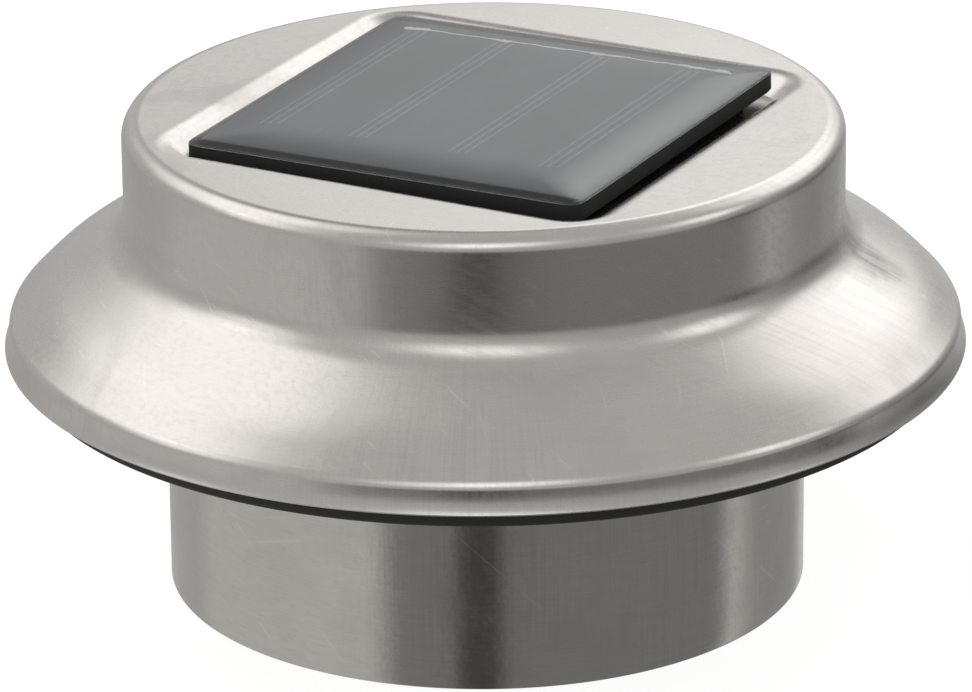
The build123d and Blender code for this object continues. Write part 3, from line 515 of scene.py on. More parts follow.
    @staticmethod
    def scratches(tree: Tree, place: Any, along: Triple, seed: float) -> Socket:
        """Long fine scratches: thin crests of noise drawn out along a direction.

        A wider noise keeps them to some areas.

        Args:
            tree: the material's tree.
            place: the point in metres.
            along: the scratches' direction.
            seed: shift that makes each set different.

        Returns:
            Socket that is 1 in a scratch and 0 elsewhere.
        """
        drawn = TurnedSteel.drawn_out(tree, place, along, seed, SCRATCH_SCALES)
        crest = tree.ramp(tree.noise(drawn, 1.0, 1.0, 0.5), 0.69, 0.80)
        shifted = tree.vector("ADD", place, (seed, seed, seed))
        here = tree.ramp(tree.noise(shifted, 34.0, 1.0, 0.5), 0.46, 0.62)
        return tree.maths("MULTIPLY", crest, here)


@dataclass(frozen=True)
class StripSteel(Finish):
    """Stainless strip brushed along its length: noise drawn out along Y and Z."""

    def fill(self, tree: Tree) -> None:
        """Builds the nodes of the finish."""
        place = tree.place()
        fine = tree.noise(tree.scaled(place, (3200.0, 60.0, 60.0)), 1.0, 3.0, 0.6)
        patch = tree.noise(place, 90.0, 3.0, 0.55, 0.3)
        even = tree.ramp(patch, 0.3, 0.7, self.roughness - 0.03, self.roughness + 0.05)
        rough = tree.maths("ADD", tree.ramp(fine, 0.3, 0.7, -0.04, 0.06), even)
        colour = tree.blend(fine, rgba(self.colour, 0.93), rgba(self.colour, 1.05))
        tree.surface(colour, rough, {"Metallic": 1.0, "Normal": tree.bump(fine, 1.0, 0.002)})


@dataclass(frozen=True)
class Plated(Finish):
    """Plated or bright metal with small stains and soft pits."""

    stain: float = 0.88

    def fill(self, tree: Tree) -> None:
        """Builds the nodes of the finish."""
        place = tree.place()
        pits = tree.noise(place, 900.0, 3.0, 0.6)
        patch = tree.noise(place, 260.0, 3.0, 0.6, 0.5)
        rough = tree.maths("ADD", tree.ramp(patch, 0.3, 0.7, -0.04, 0.09), self.roughness)
        share = tree.ramp(patch, 0.35, 0.75)
        colour = tree.blend(share, rgba(self.colour), rgba(self.colour, self.stain))
        tree.surface(colour, rough, {"Metallic": 1.0, "Normal": tree.bump(pits, 0.6, 0.01)})


@dataclass(frozen=True)
class Moulded(Finish):
    """Moulded or cast plastic, rubber or foam.

    Two noises, a fine grain and a wide one, vary the colour and roughness, and the grain
    lifts the surface by a few hundredths of a millimetre.
    """

    grain_scale: float = 1800.0
    grain_depth: float = 0.012
    vary: float = 0.25
    coat: float = 0.0
    sheen: float = 0.0

    def fill(self, tree: Tree) -> None:
        """Builds the nodes of the finish."""
        place = tree.place()
        grain = tree.noise(place, self.grain_scale, 3.0, 0.6)
        wide = tree.noise(place, 75.0, 3.0, 0.55)
        share = tree.maths("MULTIPLY_ADD", wide, 0.6, tree.maths("MULTIPLY", grain, 0.4))
        dark, light = rgba(self.colour, 1 - self.vary), rgba(self.colour, 1 + self.vary)
        colour = tree.blend(share, dark, light)
        rough = tree.ramp(share, 0.25, 0.75, self.roughness - 0.06, self.roughness + 0.06)
        more = {"Coat Weight": self.coat, "Coat Roughness": 0.12, "Sheen Weight": self.sheen}
        tree.surface(colour, rough, {**more, "Normal": tree.bump(grain, 0.7, self.grain_depth)})


@dataclass(frozen=True)
class Clear(Finish):
    """Clear resin or moulded lens: refracting, with faint waviness and small specks."""

    index: float = 1.58

    def fill(self, tree: Tree) -> None:
        """Builds the nodes of the finish."""
        place = tree.place()
        wave = tree.noise(place, 95.0, 2.0, 0.5, 0.3)
        cloud = tree.noise(place, 420.0, 3.0, 0.6)
        rough = tree.ramp(cloud, 0.45, 0.8, self.roughness, self.roughness + 0.03)
        colour = tree.blend(tree.ramp(cloud, 0.4, 0.8), rgba(self.colour), rgba(self.colour, 0.93))
        more = {"Transmission Weight": 1.0, "IOR": self.index}
        tree.surface(colour, rough, {**more, "Normal": tree.bump(wave, 1.0, 0.004)})


@dataclass(frozen=True)
class CellFace(Finish):
    """Dark solar cell: an even blue-grey with slow cloudiness and fine vertical banding."""

    def fill(self, tree: Tree) -> None:
        """Builds the nodes of the finish."""
        place = tree.place()
        cloud = tree.noise(tree.scaled(place, (60.0, 25.0, 60.0)), 1.0, 3.0, 0.55)
        speck = tree.noise(place, 2600.0, 2.0, 0.6)
        share = tree.ramp(cloud, 0.3, 0.7)
        colour = tree.blend(share, rgba(self.colour, 0.82), rgba(self.colour, 1.18))
        share = tree.ramp(speck, 0.55, 0.8, 0.0, 0.06)
        colour = tree.blend(share, colour, rgba(self.colour, 1.5))
        rough = tree.ramp(cloud, 0.3, 0.7, self.roughness - 0.05, self.roughness + 0.05)
        tree.surface(colour, rough, {"Specular IOR Level": 0.3})


STEEL = TurnedSteel("turned_steel", (0.640, 0.612, 0.590), 0.255)
SLEEVE_STEEL = TurnedSteel(
    "sleeve_steel",
    (0.615, 0.590, 0.560),
    0.15,
    grain_depth=0.0030,
    streak=0.5,
    scratch_depth=0.0015,
    peel_depth=0.0075,
    ripple_depth=0.020,
    anisotropy=0.25,
    smudge=0.05,
)
STRIP_STEEL = StripSteel("strip_steel", (0.58, 0.57, 0.55), 0.30)
ZINC = Plated("zinc_plate", (0.62, 0.62, 0.60), 0.27)
BOLT_STEEL = Plated("bolt_steel", (0.60, 0.595, 0.58), 0.30)
NICKEL = Plated("nickel_contact", (0.66, 0.62, 0.54), 0.25)
MIRROR = Plated("bright_reflector", (0.86, 0.86, 0.86), 0.09, stain=0.96)
CAN = Plated("capacitor_can", (0.50, 0.52, 0.55), 0.33)
PLATE_BLACK = Moulded("black_plate", (0.016, 0.015, 0.014), 0.62, grain_scale=900.0)
HOUSING_BLACK = Moulded("black_housing", (0.020, 0.020, 0.021), 0.50)
COVER_BLACK = Moulded("cover_black", (0.023, 0.023, 0.024), 0.48, grain_scale=1300.0)
KNOB_BLACK = Moulded("knob_black", (0.024, 0.024, 0.025), 0.38, coat=0.15)
RUBBER = Moulded(
    "black_rubber", (0.022, 0.022, 0.022), 0.78, grain_scale=1500.0, grain_depth=0.02, sheen=0.15
)
FOAM = Moulded("black_foam", (0.028, 0.028, 0.028), 0.92, grain_scale=700.0, grain_depth=0.12)
SEALANT = Moulded(
    "grey_sealant", (0.52, 0.52, 0.51), 0.42, grain_scale=300.0, grain_depth=0.05, vary=0.06
)
BACKING = Moulded("panel_backing", (0.0085, 0.0088, 0.009), 0.80, grain_scale=1100.0)
BOARD = Moulded(
    "board_mask", (0.035, 0.19, 0.075), 0.32, grain_scale=500.0, grain_depth=0.01, coat=0.4
)
FERRITE = Moulded("ferrite", (0.06, 0.052, 0.048), 0.55)
CHIP = Moulded("chip_body", (0.028, 0.028, 0.028), 0.45)
SWITCH = Moulded("switch_body", (0.045, 0.045, 0.047), 0.42)
SLIDER = Moulded("slider_grey", (0.58, 0.58, 0.56), 0.42, vary=0.07)
SOLDER = Moulded("dull_solder", (0.92, 0.92, 0.91), 0.40, grain_scale=900.0, vary=0.06)
CELL_WRAP = Moulded(
    "battery_wrap",
    (0.075, 0.30, 0.16),
    0.30,
    grain_scale=240.0,
    grain_depth=0.01,
    vary=0.1,
    coat=0.5,
)
RED_WIRE = Moulded("red_wire", (0.46, 0.025, 0.022), 0.38, vary=0.1)
BLACK_WIRE = Moulded("black_wire", (0.02, 0.02, 0.02), 0.38)
WHITE_WIRE = Moulded("white_wire", (0.74, 0.73, 0.70), 0.40, vary=0.05)
RESIN = Clear("clear_resin", (0.93, 0.95, 0.96), 0.015)
LENS_CLEAR = Clear("clear_lens", (0.95, 0.96, 0.97), 0.02, index=1.49)
LED_CLEAR = Clear("clear_led", (0.95, 0.95, 0.86), 0.05, index=1.5)
CELLS = CellFace("solar_cell", (0.106, 0.129, 0.141), 0.45)
CELL_LINES = CellFace("printed_lines", (0.22, 0.28, 0.33), 0.40)

NODE_FINISHES: dict[Finish, tuple[str, ...]] = {
    FOAM: ("panel_pad",),
    RUBBER: ("lead_grommet", "housing_gasket", "lens_gasket", "grip_pad", "pad_face"),
    HOUSING_BLACK: ("inner_housing", "battery_tray"),
    SEALANT: ("bond_ring",),
    ZINC: (
        *("housing_screws", "sleeve_screws", "board_screws", "switch_screws", "cover_screws"),
        *("clamp_nut", "pressure_pad"),
    ),
    PLATE_BLACK: ("base_plate",),
    LENS_CLEAR: ("lens",),
    MIRROR: ("reflector",),
    LED_CLEAR: ("leds",),
    BOARD: ("circuit_board",),
    FERRITE: ("inductor",),
    CAN: ("capacitor",),
    CHIP: ("driver_chip",),
    SWITCH: ("switch_body",),
    SLIDER: ("switch_slider",),
    WHITE_WIRE: ("switch_leads",),
    CELL_WRAP: ("battery_cell",),
    NICKEL: ("contact_plates", "contact_spring"),
    COVER_BLACK: ("battery_cover",),
    RED_WIRE: ("solar_lead_red", "battery_lead_red"),
    BLACK_WIRE: ("solar_lead_black", "battery_lead_black"),
    STRIP_STEEL: ("mount_bracket",),
    BOLT_STEEL: ("bracket_screws",),
    KNOB_BLACK: ("clamp_knob",),
}


# ---- the hat -------------------------------------------------------------------------
@dataclass
class Hat:
    """Spun stainless hat with a pressed square recess in its flat top."""

    top_z: float
    brim_radius: float
    edge_z: float
    sheet: float = 0.6
    band_height: float = 3.9
    band_lean: float = 0.9
    cone_rise: float = 11.3
    shoulder_inset: float = 4.6
    shoulder_rise: float = 4.7
    shoulder_round: float = 25.0
    crown_radius: float = 46.6
    crown_round: float = 2.4
    cone_blend: float = 6.0
    bend_round: float = 2.5
    flare: float = 0.60
    recess_half: float = 31.4
    recess_run: float = 3.0
    recess_depth: float = 2.6
    recess_corner: float = 2.4
    recess_round: float = 3.6
    foot_round: float = 0.35
    columns: int = 416

    def outer_line(self) -> Array:
        """The hat's outer line from the flat top's rim down to the brim's edge."""
        bend_r, bend_z = self.brim_radius - self.band_lean, self.edge_z + self.band_height
        corners = [
            (self.crown_radius - self.crown_round - 0.05, self.top_z),
            (self.crown_radius, self.top_z),
            (self.crown_radius, bend_z + self.cone_rise),
            (bend_r - self.shoulder_inset, bend_z + self.shoulder_rise),
            (bend_r, bend_z),
            (self.brim_radius, self.edge_z),
        ]
        radii = [self.crown_round, self.cone_blend, self.shoulder_round, self.bend_round]
        line = rounded_line(corners, radii, 14)
        return np.concatenate([line[:-1], self.flared(line[-2], line[-1])])

    def flared(self, start: Array, end: Array) -> Array:
        """The brim's band, which hollows a little and flares at its lower edge.

        At a share t of the way down, the radius has grown by t + flare * (t ** 3 - t) of
        its whole growth.
        """
        t = np.linspace(0.0, 1.0, 17)[1:]
        grown = t + self.flare * (t**3 - t)
        return start + (end - start) * np.column_stack([grown, t])

    def offset(self, line: Array, gap: float) -> Array:
        """The line that runs beside another, to its left by a gap."""
        ahead = np.gradient(line, axis=0)
        ahead /= np.maximum(np.hypot(*ahead.T), TINY)[:, None]
        return line + np.column_stack([ahead[:, 1], -ahead[:, 0]]) * gap

    def square_rows(self) -> list[tuple[float, float, float]]:
        """Rows of the recess from its floor to the flat top.

        Each row is (half side, corner radius, height). The wall runs straight from the
        floor to the roundover, whose arc turns it into the flat top. The corner radius
        grows as much as the half side does.

        Returns:
            The rows.
        """
        lean = math.atan2(self.recess_depth, self.recess_run)
        floor, floor_z = self.recess_half - self.recess_run, self.top_z - self.recess_depth
        reach = self.recess_half + self.recess_round * math.tan(lean / 2) + 0.02
        corners = [(floor - 1.0, floor_z), (floor, floor_z)]
        corners += [(self.recess_half, self.top_z), (reach, self.top_z)]
        line = rounded_line(corners, [self.foot_round, self.recess_round], 8)[1:]
        shares = (0.02, 0.3, 0.6, 0.85, 0.97)
        rows = [(floor * a, max(self.recess_corner * a, 0.02), floor_z) for a in shares]
        return rows + [(half, self.recess_corner + half - floor, z) for half, z in line]

    def build(self) -> Piece:
        """One closed skin: recess, flat top, crown, cone and brim, and the inner face.

        Every row is a closed curve about the axis. In the recess its reach at each angle is
        a rounded square's. Over the flat top it changes steadily to the crown's circle, and
        from there on it is a circle.
        """
        angle = corner_angles(self.columns)
        across = np.stack([np.cos(angle), np.sin(angle)], -1)
        squares = self.square_rows()
        line = self.outer_line()
        rows = [across * square_reach(angle, half, corner)[:, None] for half, corner, _ in squares]
        heights = [z for _, _, z in squares]
        edge, circle = rows[-1], across * line[0, 0]
        for share in np.linspace(0, 1, 9)[1:-1]:
            rows.append(edge * (1 - share) + circle * share)
            heights.append(self.top_z)
        dense = densify(line, 1.0)
        inner = self.offset(line, self.sheet)
        inner[-1] = line[-1] + np.array([-self.sheet, 0.0])
        lip_corners = [tuple(dense[-2]), tuple(line[-1]), tuple(inner[-1]), tuple(inner[-2])]
        lip = rounded_line(lip_corners, [0.12, 0.12], 3)
        profile = np.concatenate([dense[:-1], lip[1:-1], densify(inner[::-1][1:], 2.4)])
        rows += [across * radius for radius, _ in profile]
        heights += [z for _, z in profile]
        floor_z = self.top_z - self.recess_depth - self.sheet
        floor = self.recess_half - self.recess_run + self.sheet
        under = (self.recess_half + 0.7, 3.9, self.top_z - self.sheet)
        for half, corner, z in (under, (floor, 3.6, floor_z), (0.5, 0.1, floor_z)):
            rows.append(across * square_reach(angle, half, corner)[:, None])
            heights.append(z)
        flat = np.array(rows)
        tall = np.broadcast_to(np.array(heights)[:, None, None], (*flat.shape[:2], 1))
        faces = grid_faces(len(rows), self.columns, Closing.LOOP, Closing.OPEN)
        hat = new_object("hat_skin", np.concatenate([flat, tall], -1), faces[:, ::-1])
        mean = np.column_stack([np.hypot(*np.moveaxis(flat, 2, 0)).mean(1), heights])
        add_brushing(hat, run_length(mean), self.columns)
        STEEL.dress(hat)
        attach(hat, "lamp_body")
        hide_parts("hat_shell")
        return hat


@dataclass
class Sleeve:
    """Plain stainless sleeve with a flange at its top and a slightly turned lower edge."""

    radius: float
    height: float
    flange_radius: float
    sheet: float = 0.6
    bend: float = 1.2
    edge_round: float = 0.18
    columns: int = 384

    def build(self) -> Piece:
        """Full turn of the sleeve's closed section: outer wall, flange, inner wall."""
        outer, inner = self.radius, self.radius - self.sheet
        top = self.height
        section = rounded_line(
            [
                (outer - self.sheet / 2, 0.0),
                (outer, 0.0),
                (outer, top - self.sheet),
                (self.flange_radius, top - self.sheet),
                (self.flange_radius, top),
                (inner, top),
                (inner, 0.0),
                (outer - self.sheet / 2, 0.0),
            ],
            [self.edge_round, self.bend, 0.15, 0.15, self.bend + self.sheet, self.edge_round],
            6,
        )[:-1]
        sleeve = revolve("sleeve_skin", densify(section, 1.5), self.columns)
        SLEEVE_STEEL.dress(sleeve)
        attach(sleeve, "lamp_body")
        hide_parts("sleeve")
        return sleeve


# ---- the solar panel -----------------------------------------------------------------
# Place along X, half length and size of each soldered run of the joining ribbon.
SOLDER_RUNS = (
    *((-22.4, 1.7, 1.0), (-20.6, 0.5, 0.5), (-10.0, 0.9, 0.35), (-8.6, 0.7, 0.9)),
    *((-1.5, 1.6, 0.25), (4.6, 1.0, 0.8), (7.4, 1.4, 0.45), (13.4, 1.2, 0.3)),
    *((18.2, 1.8, 0.7), (22.4, 0.9, 1.0)),
)


@dataclass
class SolarPanel:
    """Square panel glued a little out of level in the recess.

    Its pieces are worked out level, with the panel's underside at height 0, and then
    turned about the middle of the underside and lifted into the recess.
    """

    bottom_z: float
    side: float = 56.2
    thickness: float = 2.8
    corner: float = 1.6
    backing: float = 1.2
    tilt_x: float = 0.57
    tilt_y: float = -0.78
    cell_width: float = 13.48
    cell_length: float = 51.0
    cell_pitch: float = 13.5
    cell_thickness: float = 0.25
    crown: float = 0.72
    dome: float = 0.78
    dome_width: float = 10.0
    droop: float = 0.14
    droop_width: float = 2.4
    side_round: float = 0.28
    tray_wall: float = 0.14
    tray_height: float = 2.34
    line_groups: tuple[float, ...] = (-21.3, -8.5, 5.9, 18.8)
    line_gap: float = 1.1
    line_width: float = 0.30
    line_span: tuple[float, float] = (-18.0, 22.3)
    ribbon_half: tuple[float, float] = (0.21, 0.46)
    ribbon_lift: tuple[float, float] = (0.05, 0.17)
    columns: int = 256

    def placed(self, points: Array) -> Array:
        """Points turned by the panel's tilt and lifted into the recess."""
        about_x = Matrix.Rotation(math.radians(self.tilt_x), 3, "X")
        about_y = Matrix.Rotation(math.radians(self.tilt_y), 3, "Y")
        turned = points.reshape(-1, 3) @ np.array(about_x @ about_y).T
        return turned + np.array([0.0, 0.0, self.bottom_z])

    def slab(self, name: str, rows: Sequence[tuple[float, float, float]]) -> Piece:
        """Closed block whose rows are rounded squares.

        Row i is the outline of a square at (inset from the panel's side, corner radius,
        height). The first and last rows are shrunk to the middle, which closes the block.

        Args:
            name: the object's name.
            rows: the rows from the middle of the top to the middle of the underside.

        Returns:
            The new object.
        """
        angle = (np.arange(self.columns) + 0.5) * TURN / self.columns
        half = self.side / 2
        reach = np.array([square_reach(angle, half - inset, corner) for inset, corner, _ in rows])
        height = np.broadcast_to(np.array([z for _, _, z in rows])[:, None], reach.shape)
        points = np.stack([reach * np.cos(angle), reach * np.sin(angle), height], -1)
        faces = grid_faces(len(rows), self.columns, Closing.LOOP, Closing.OPEN)
        return new_object(name, self.placed(points), faces[:, ::-1])

    def resin(self) -> Piece:
        """Poured resin: level in the middle, and rounded down towards its sides.

        Between the small arc at the side and the inset dome_width, the height falls by
        dome * u ** 2, and between it and droop_width by another droop * v ** 4, where u and
        v grow from 0 at that inset to 1 at the arc.
        """
        half, top, radius = self.side / 2, self.thickness + self.crown, self.side_round
        middle = [half - 0.02, half * 0.7, half * 0.5]
        outer = np.linspace(self.dome_width, self.droop_width, 12)
        inset = np.concatenate([middle, outer, np.linspace(self.droop_width, radius, 18)[1:]])
        runs = self.dome_width - radius, self.droop_width - radius
        wide, narrow = (np.clip(1 - (inset - radius) / run, 0, None) for run in runs)
        height = top - self.dome * wide**2 - self.droop * narrow**4
        corner = np.minimum(self.corner + 0.25 * inset, 0.9 * (half - inset) + 0.01)
        rows = [tuple(map(float, row)) for row in zip(inset, corner, height)]
        lean = math.atan(2 * self.dome / runs[0] + 4 * self.droop / runs[1])
        arc = np.linspace(lean, math.pi / 2, 7)[1:]
        for a, fall in zip(arc, radius * (math.cos(lean) - np.cos(arc))):
            rows.append((radius * (1 - math.sin(a)), self.corner, float(height[-1] - fall)))
        low, wall, brink = self.backing - 0.03, self.tray_wall * 0.6, self.tray_height
        rows += [(0.0, self.corner, brink + 0.02), (wall, self.corner, brink - 0.05)]
        rows += [(wall, self.corner, low), (6.0, 1.2, low), (half - 0.02, 0.01, low)]
        made = self.slab("resin_block", rows)
        RESIN.dress(made)
        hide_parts("resin_cover")
        return made

    def board(self) -> Piece:
        """Black backing whose thin rim stands up round the resin."""
        half, top, high, edge = self.side / 2, self.backing, self.tray_height, self.corner
        rows = [(half - 0.02, 0.01, top), (3.0, 1.5, top), (self.tray_wall, edge, top)]
        rows += [(self.tray_wall, edge, high), (0.03, edge, high), (0.0, edge, high - 0.08)]
        rows += [(0.0, edge, 0.15), (0.12, edge, 0.0), (4.0, 1.2, 0.0), (half - 0.02, 0.01, 0.0)]
        made = self.slab("panel_board", rows)
        BACKING.dress(made)
        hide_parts("solar_backing")
        return made

    def boxes(self, name: str, boxes: Array) -> Piece:
        """Many small blocks in one mesh.

        Args:
            name: the object's name.
            boxes: one row (x low, x high, y low, y high, z low, z high) for each block.

        Returns:
            The new object.
        """
        pick = np.array([[x, 2 + y, 4 + z] for z in (0, 1) for y in (0, 1) for x in (0, 1)])
        sides = [[0, 2, 3, 1], [4, 5, 7, 6], [0, 1, 5, 4], [2, 6, 7, 3], [0, 4, 6, 2], [1, 3, 7, 5]]
        faces = (np.arange(len(boxes))[:, None, None] * 8 + np.array(sides)).reshape(-1, 4)
        return new_object(name, self.placed(boxes[:, pick]), faces, smooth=False)

    def cells(self) -> Piece:
        """The four cells, each a thin strip along Y."""
        middle = (np.arange(4) - 1.5) * self.cell_pitch
        w, h = self.cell_width / 2, self.cell_length / 2
        low, high = self.backing - 0.02, self.backing + self.cell_thickness
        rows = np.array([[x - w, x + w, -h, h, low, high] for x in middle])
        made = self.boxes("cell_strips", rows)
        CELLS.dress(made)
        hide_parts("solar_cells")
        return made

    def lines(self) -> Piece:
        """Three fine printed lines on each cell."""
        top, w = self.backing + self.cell_thickness, self.line_width / 2
        low, high = self.line_span
        rows = []
        for group in self.line_groups:
            for step in (-1, 0, 1):
                x, start = group + step * self.line_gap, low + step * 0.25
                rows.append([x - w, x + w, start, high, top - 0.01, top + 0.02])
        made = self.boxes("cell_print", np.array(rows))
        CELL_LINES.dress(made)
        return made

    def ribbon(self) -> Piece:
        """Soldered joining wire across the cells' rear ends, flattened and uneven.

        The middle line bends a little from side to side. Half the width, and half the
        height, is the first number of its pair and the second times b, where b is the sum
        of flat-topped bumps, one for each soldered run. The section is an eight-sided ring.
        """
        top = self.backing + self.cell_thickness
        x = np.linspace(-23.8, 23.9, 420)
        runs = np.array(SOLDER_RUNS)
        away = np.abs(x[:, None] - runs[:, 0]) / runs[:, 1]
        bumps = (runs[:, 2] / (1 + away**6)).sum(1) * (0.85 + 0.15 * np.sin(x * 7.3))
        middle_y = 22.7 + 0.02 * (x + 23.0) + 0.12 * np.sin(x * 0.9) + 0.05 * np.sin(x * 2.3)
        pairs = (self.ribbon_half, self.ribbon_lift)
        half, lift = (plain + swell * np.clip(bumps, 0, 1) for plain, swell in pairs)
        turn = np.arange(8) * TURN / 8
        y = middle_y[:, None] + half[:, None] * np.cos(turn)
        z = top + 0.02 + lift[:, None] * (1 + np.sin(turn))
        points = np.stack([np.broadcast_to(x[:, None], y.shape), y, z], -1)
        points[0], points[-1] = points[0].mean(0), points[-1].mean(0)
        faces = grid_faces(len(x), 8, Closing.LOOP, Closing.OPEN)
        made = new_object("joining_ribbon", self.placed(points), faces)
        SOLDER.dress(made)
        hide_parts("cell_ribbon")
        return made

    def build(self) -> list[Piece]:
        """All the panel's pieces, riding on the lamp."""
        made = [self.board(), self.cells(), self.lines(), self.ribbon(), self.resin()]
        for piece in made:
            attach(piece, "lamp_body")
        return made


# ---- the clamp -----------------------------------------------------------------------
@dataclass
class ClampScrew:
    """Rod with a rolled thread and a plain tip in the pressure pad."""

    low: Vector
    high: Vector
    pitch: float = 0.8
    depth: float = 0.42
    tip_radius: float = 1.9
    tip_length: float = 3.6
    columns: int = 40

    def build(self) -> Piece:
        """Thread as one grid about the rod's axis, which runs along Y.

        At a place y along the rod and an angle a about it, the radius is the crest's less
        depth * v, where v is the rounded triangle wave of y / pitch - a / turn: so the
        groove climbs by one pitch in each turn. It fades out at both ends.
        """
        start, end = self.low.y / MM, self.high.y / MM
        thread = start + self.tip_length
        axis_z = (self.low.z + self.high.z) / 2 / MM
        crest = (self.high.x - self.low.x) / 2 / MM
        tip = [start, start, *np.linspace(start + 0.15, thread, 5)]
        turns = np.arange(thread + 0.1, end - 0.3, self.pitch / 10)
        y = np.concatenate([tip, turns, [end - 0.15, end, end]])
        angle = np.arange(self.columns) * TURN / self.columns
        wave = (y[:, None] / self.pitch - angle / TURN) % 1.0
        groove = (1 - np.abs(2 * wave - 1)) ** 0.8
        threaded = np.clip((y - thread) / 0.8, 0, 1) * np.clip((end - 0.3 - y) / 0.5, 0, 1)
        base = np.where(y < thread + 0.05, self.tip_radius, crest)[:, None]
        radius = base - self.depth * groove * threaded[:, None]
        radius[0], radius[-1] = 0.01, 0.01
        radius[1] -= 0.15
        radius[-2] -= 0.2
        x, z = radius * np.sin(angle), axis_z + radius * np.cos(angle)
        points = np.stack([x, np.broadcast_to(y[:, None], x.shape), z], -1)
        faces = grid_faces(len(y), self.columns, Closing.LOOP, Closing.OPEN)
        rod = new_object("clamp_thread", points, faces[:, ::-1])
        ZINC.dress(rod)
        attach(rod, "clamp_spindle")
        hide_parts("clamp_screw")
        return rod


# ---- studio --------------------------------------------------------------------------
class Reach(Enum):
    """Which part of the room a soft area lies in."""

    ROUND = "round"
    BELOW = "below"


@dataclass(frozen=True)
class SoftArea:
    """A soft bright or dark patch of the room, seen from the lamp.

    Azimuth 0 is towards the camera and grows to the camera's right. The strength is full
    within the inner angle of the patch's middle and falls smoothly to nothing at the outer
    one. A patch below the horizon reaches down to straight below.
    """

    azimuth: float
    elevation: float
    inner: float
    outer: float
    strength: float
    reach: Reach = Reach.ROUND


SOFT_AREAS = tuple(
    SoftArea(*row)
    for row in (
        (29.0, 0.0, 60.0, 73.0, -0.37, Reach.BELOW),
        (-3.0, 0.0, 3.0, 11.0, -0.16, Reach.BELOW),
        (-150.0, 0.0, 16.0, 34.0, -0.12, Reach.BELOW),
        (130.0, 0.0, 14.0, 31.0, -0.25, Reach.BELOW),
        (-13.0, 29.0, 4.0, 16.0, 0.55),
        (4.0, 35.0, 4.0, 18.0, 0.95),
        (12.0, -2.0, 6.0, 26.0, -0.05),
        (-172.0, 43.0, 8.0, 20.0, -0.22),
        (48.0, 8.0, 8.0, 26.0, -0.08),
        (92.0, 1.0, 10.0, 24.0, -0.18),
        (122.0, 0.0, 8.0, 24.0, -0.20),
        (77.0, 28.0, 4.0, 16.0, 1.00),
        (132.0, 31.0, 10.0, 27.0, 0.95),
        (164.0, 26.0, 12.0, 26.0, 0.54),
        (168.0, 31.0, 5.0, 13.0, 0.80),
        (-152.0, 32.0, 6.0, 20.0, 0.22),
        (-114.0, 46.0, 11.0, 33.0, 1.00),
        (-80.0, 27.0, 5.0, 19.0, 0.85),
    )
)


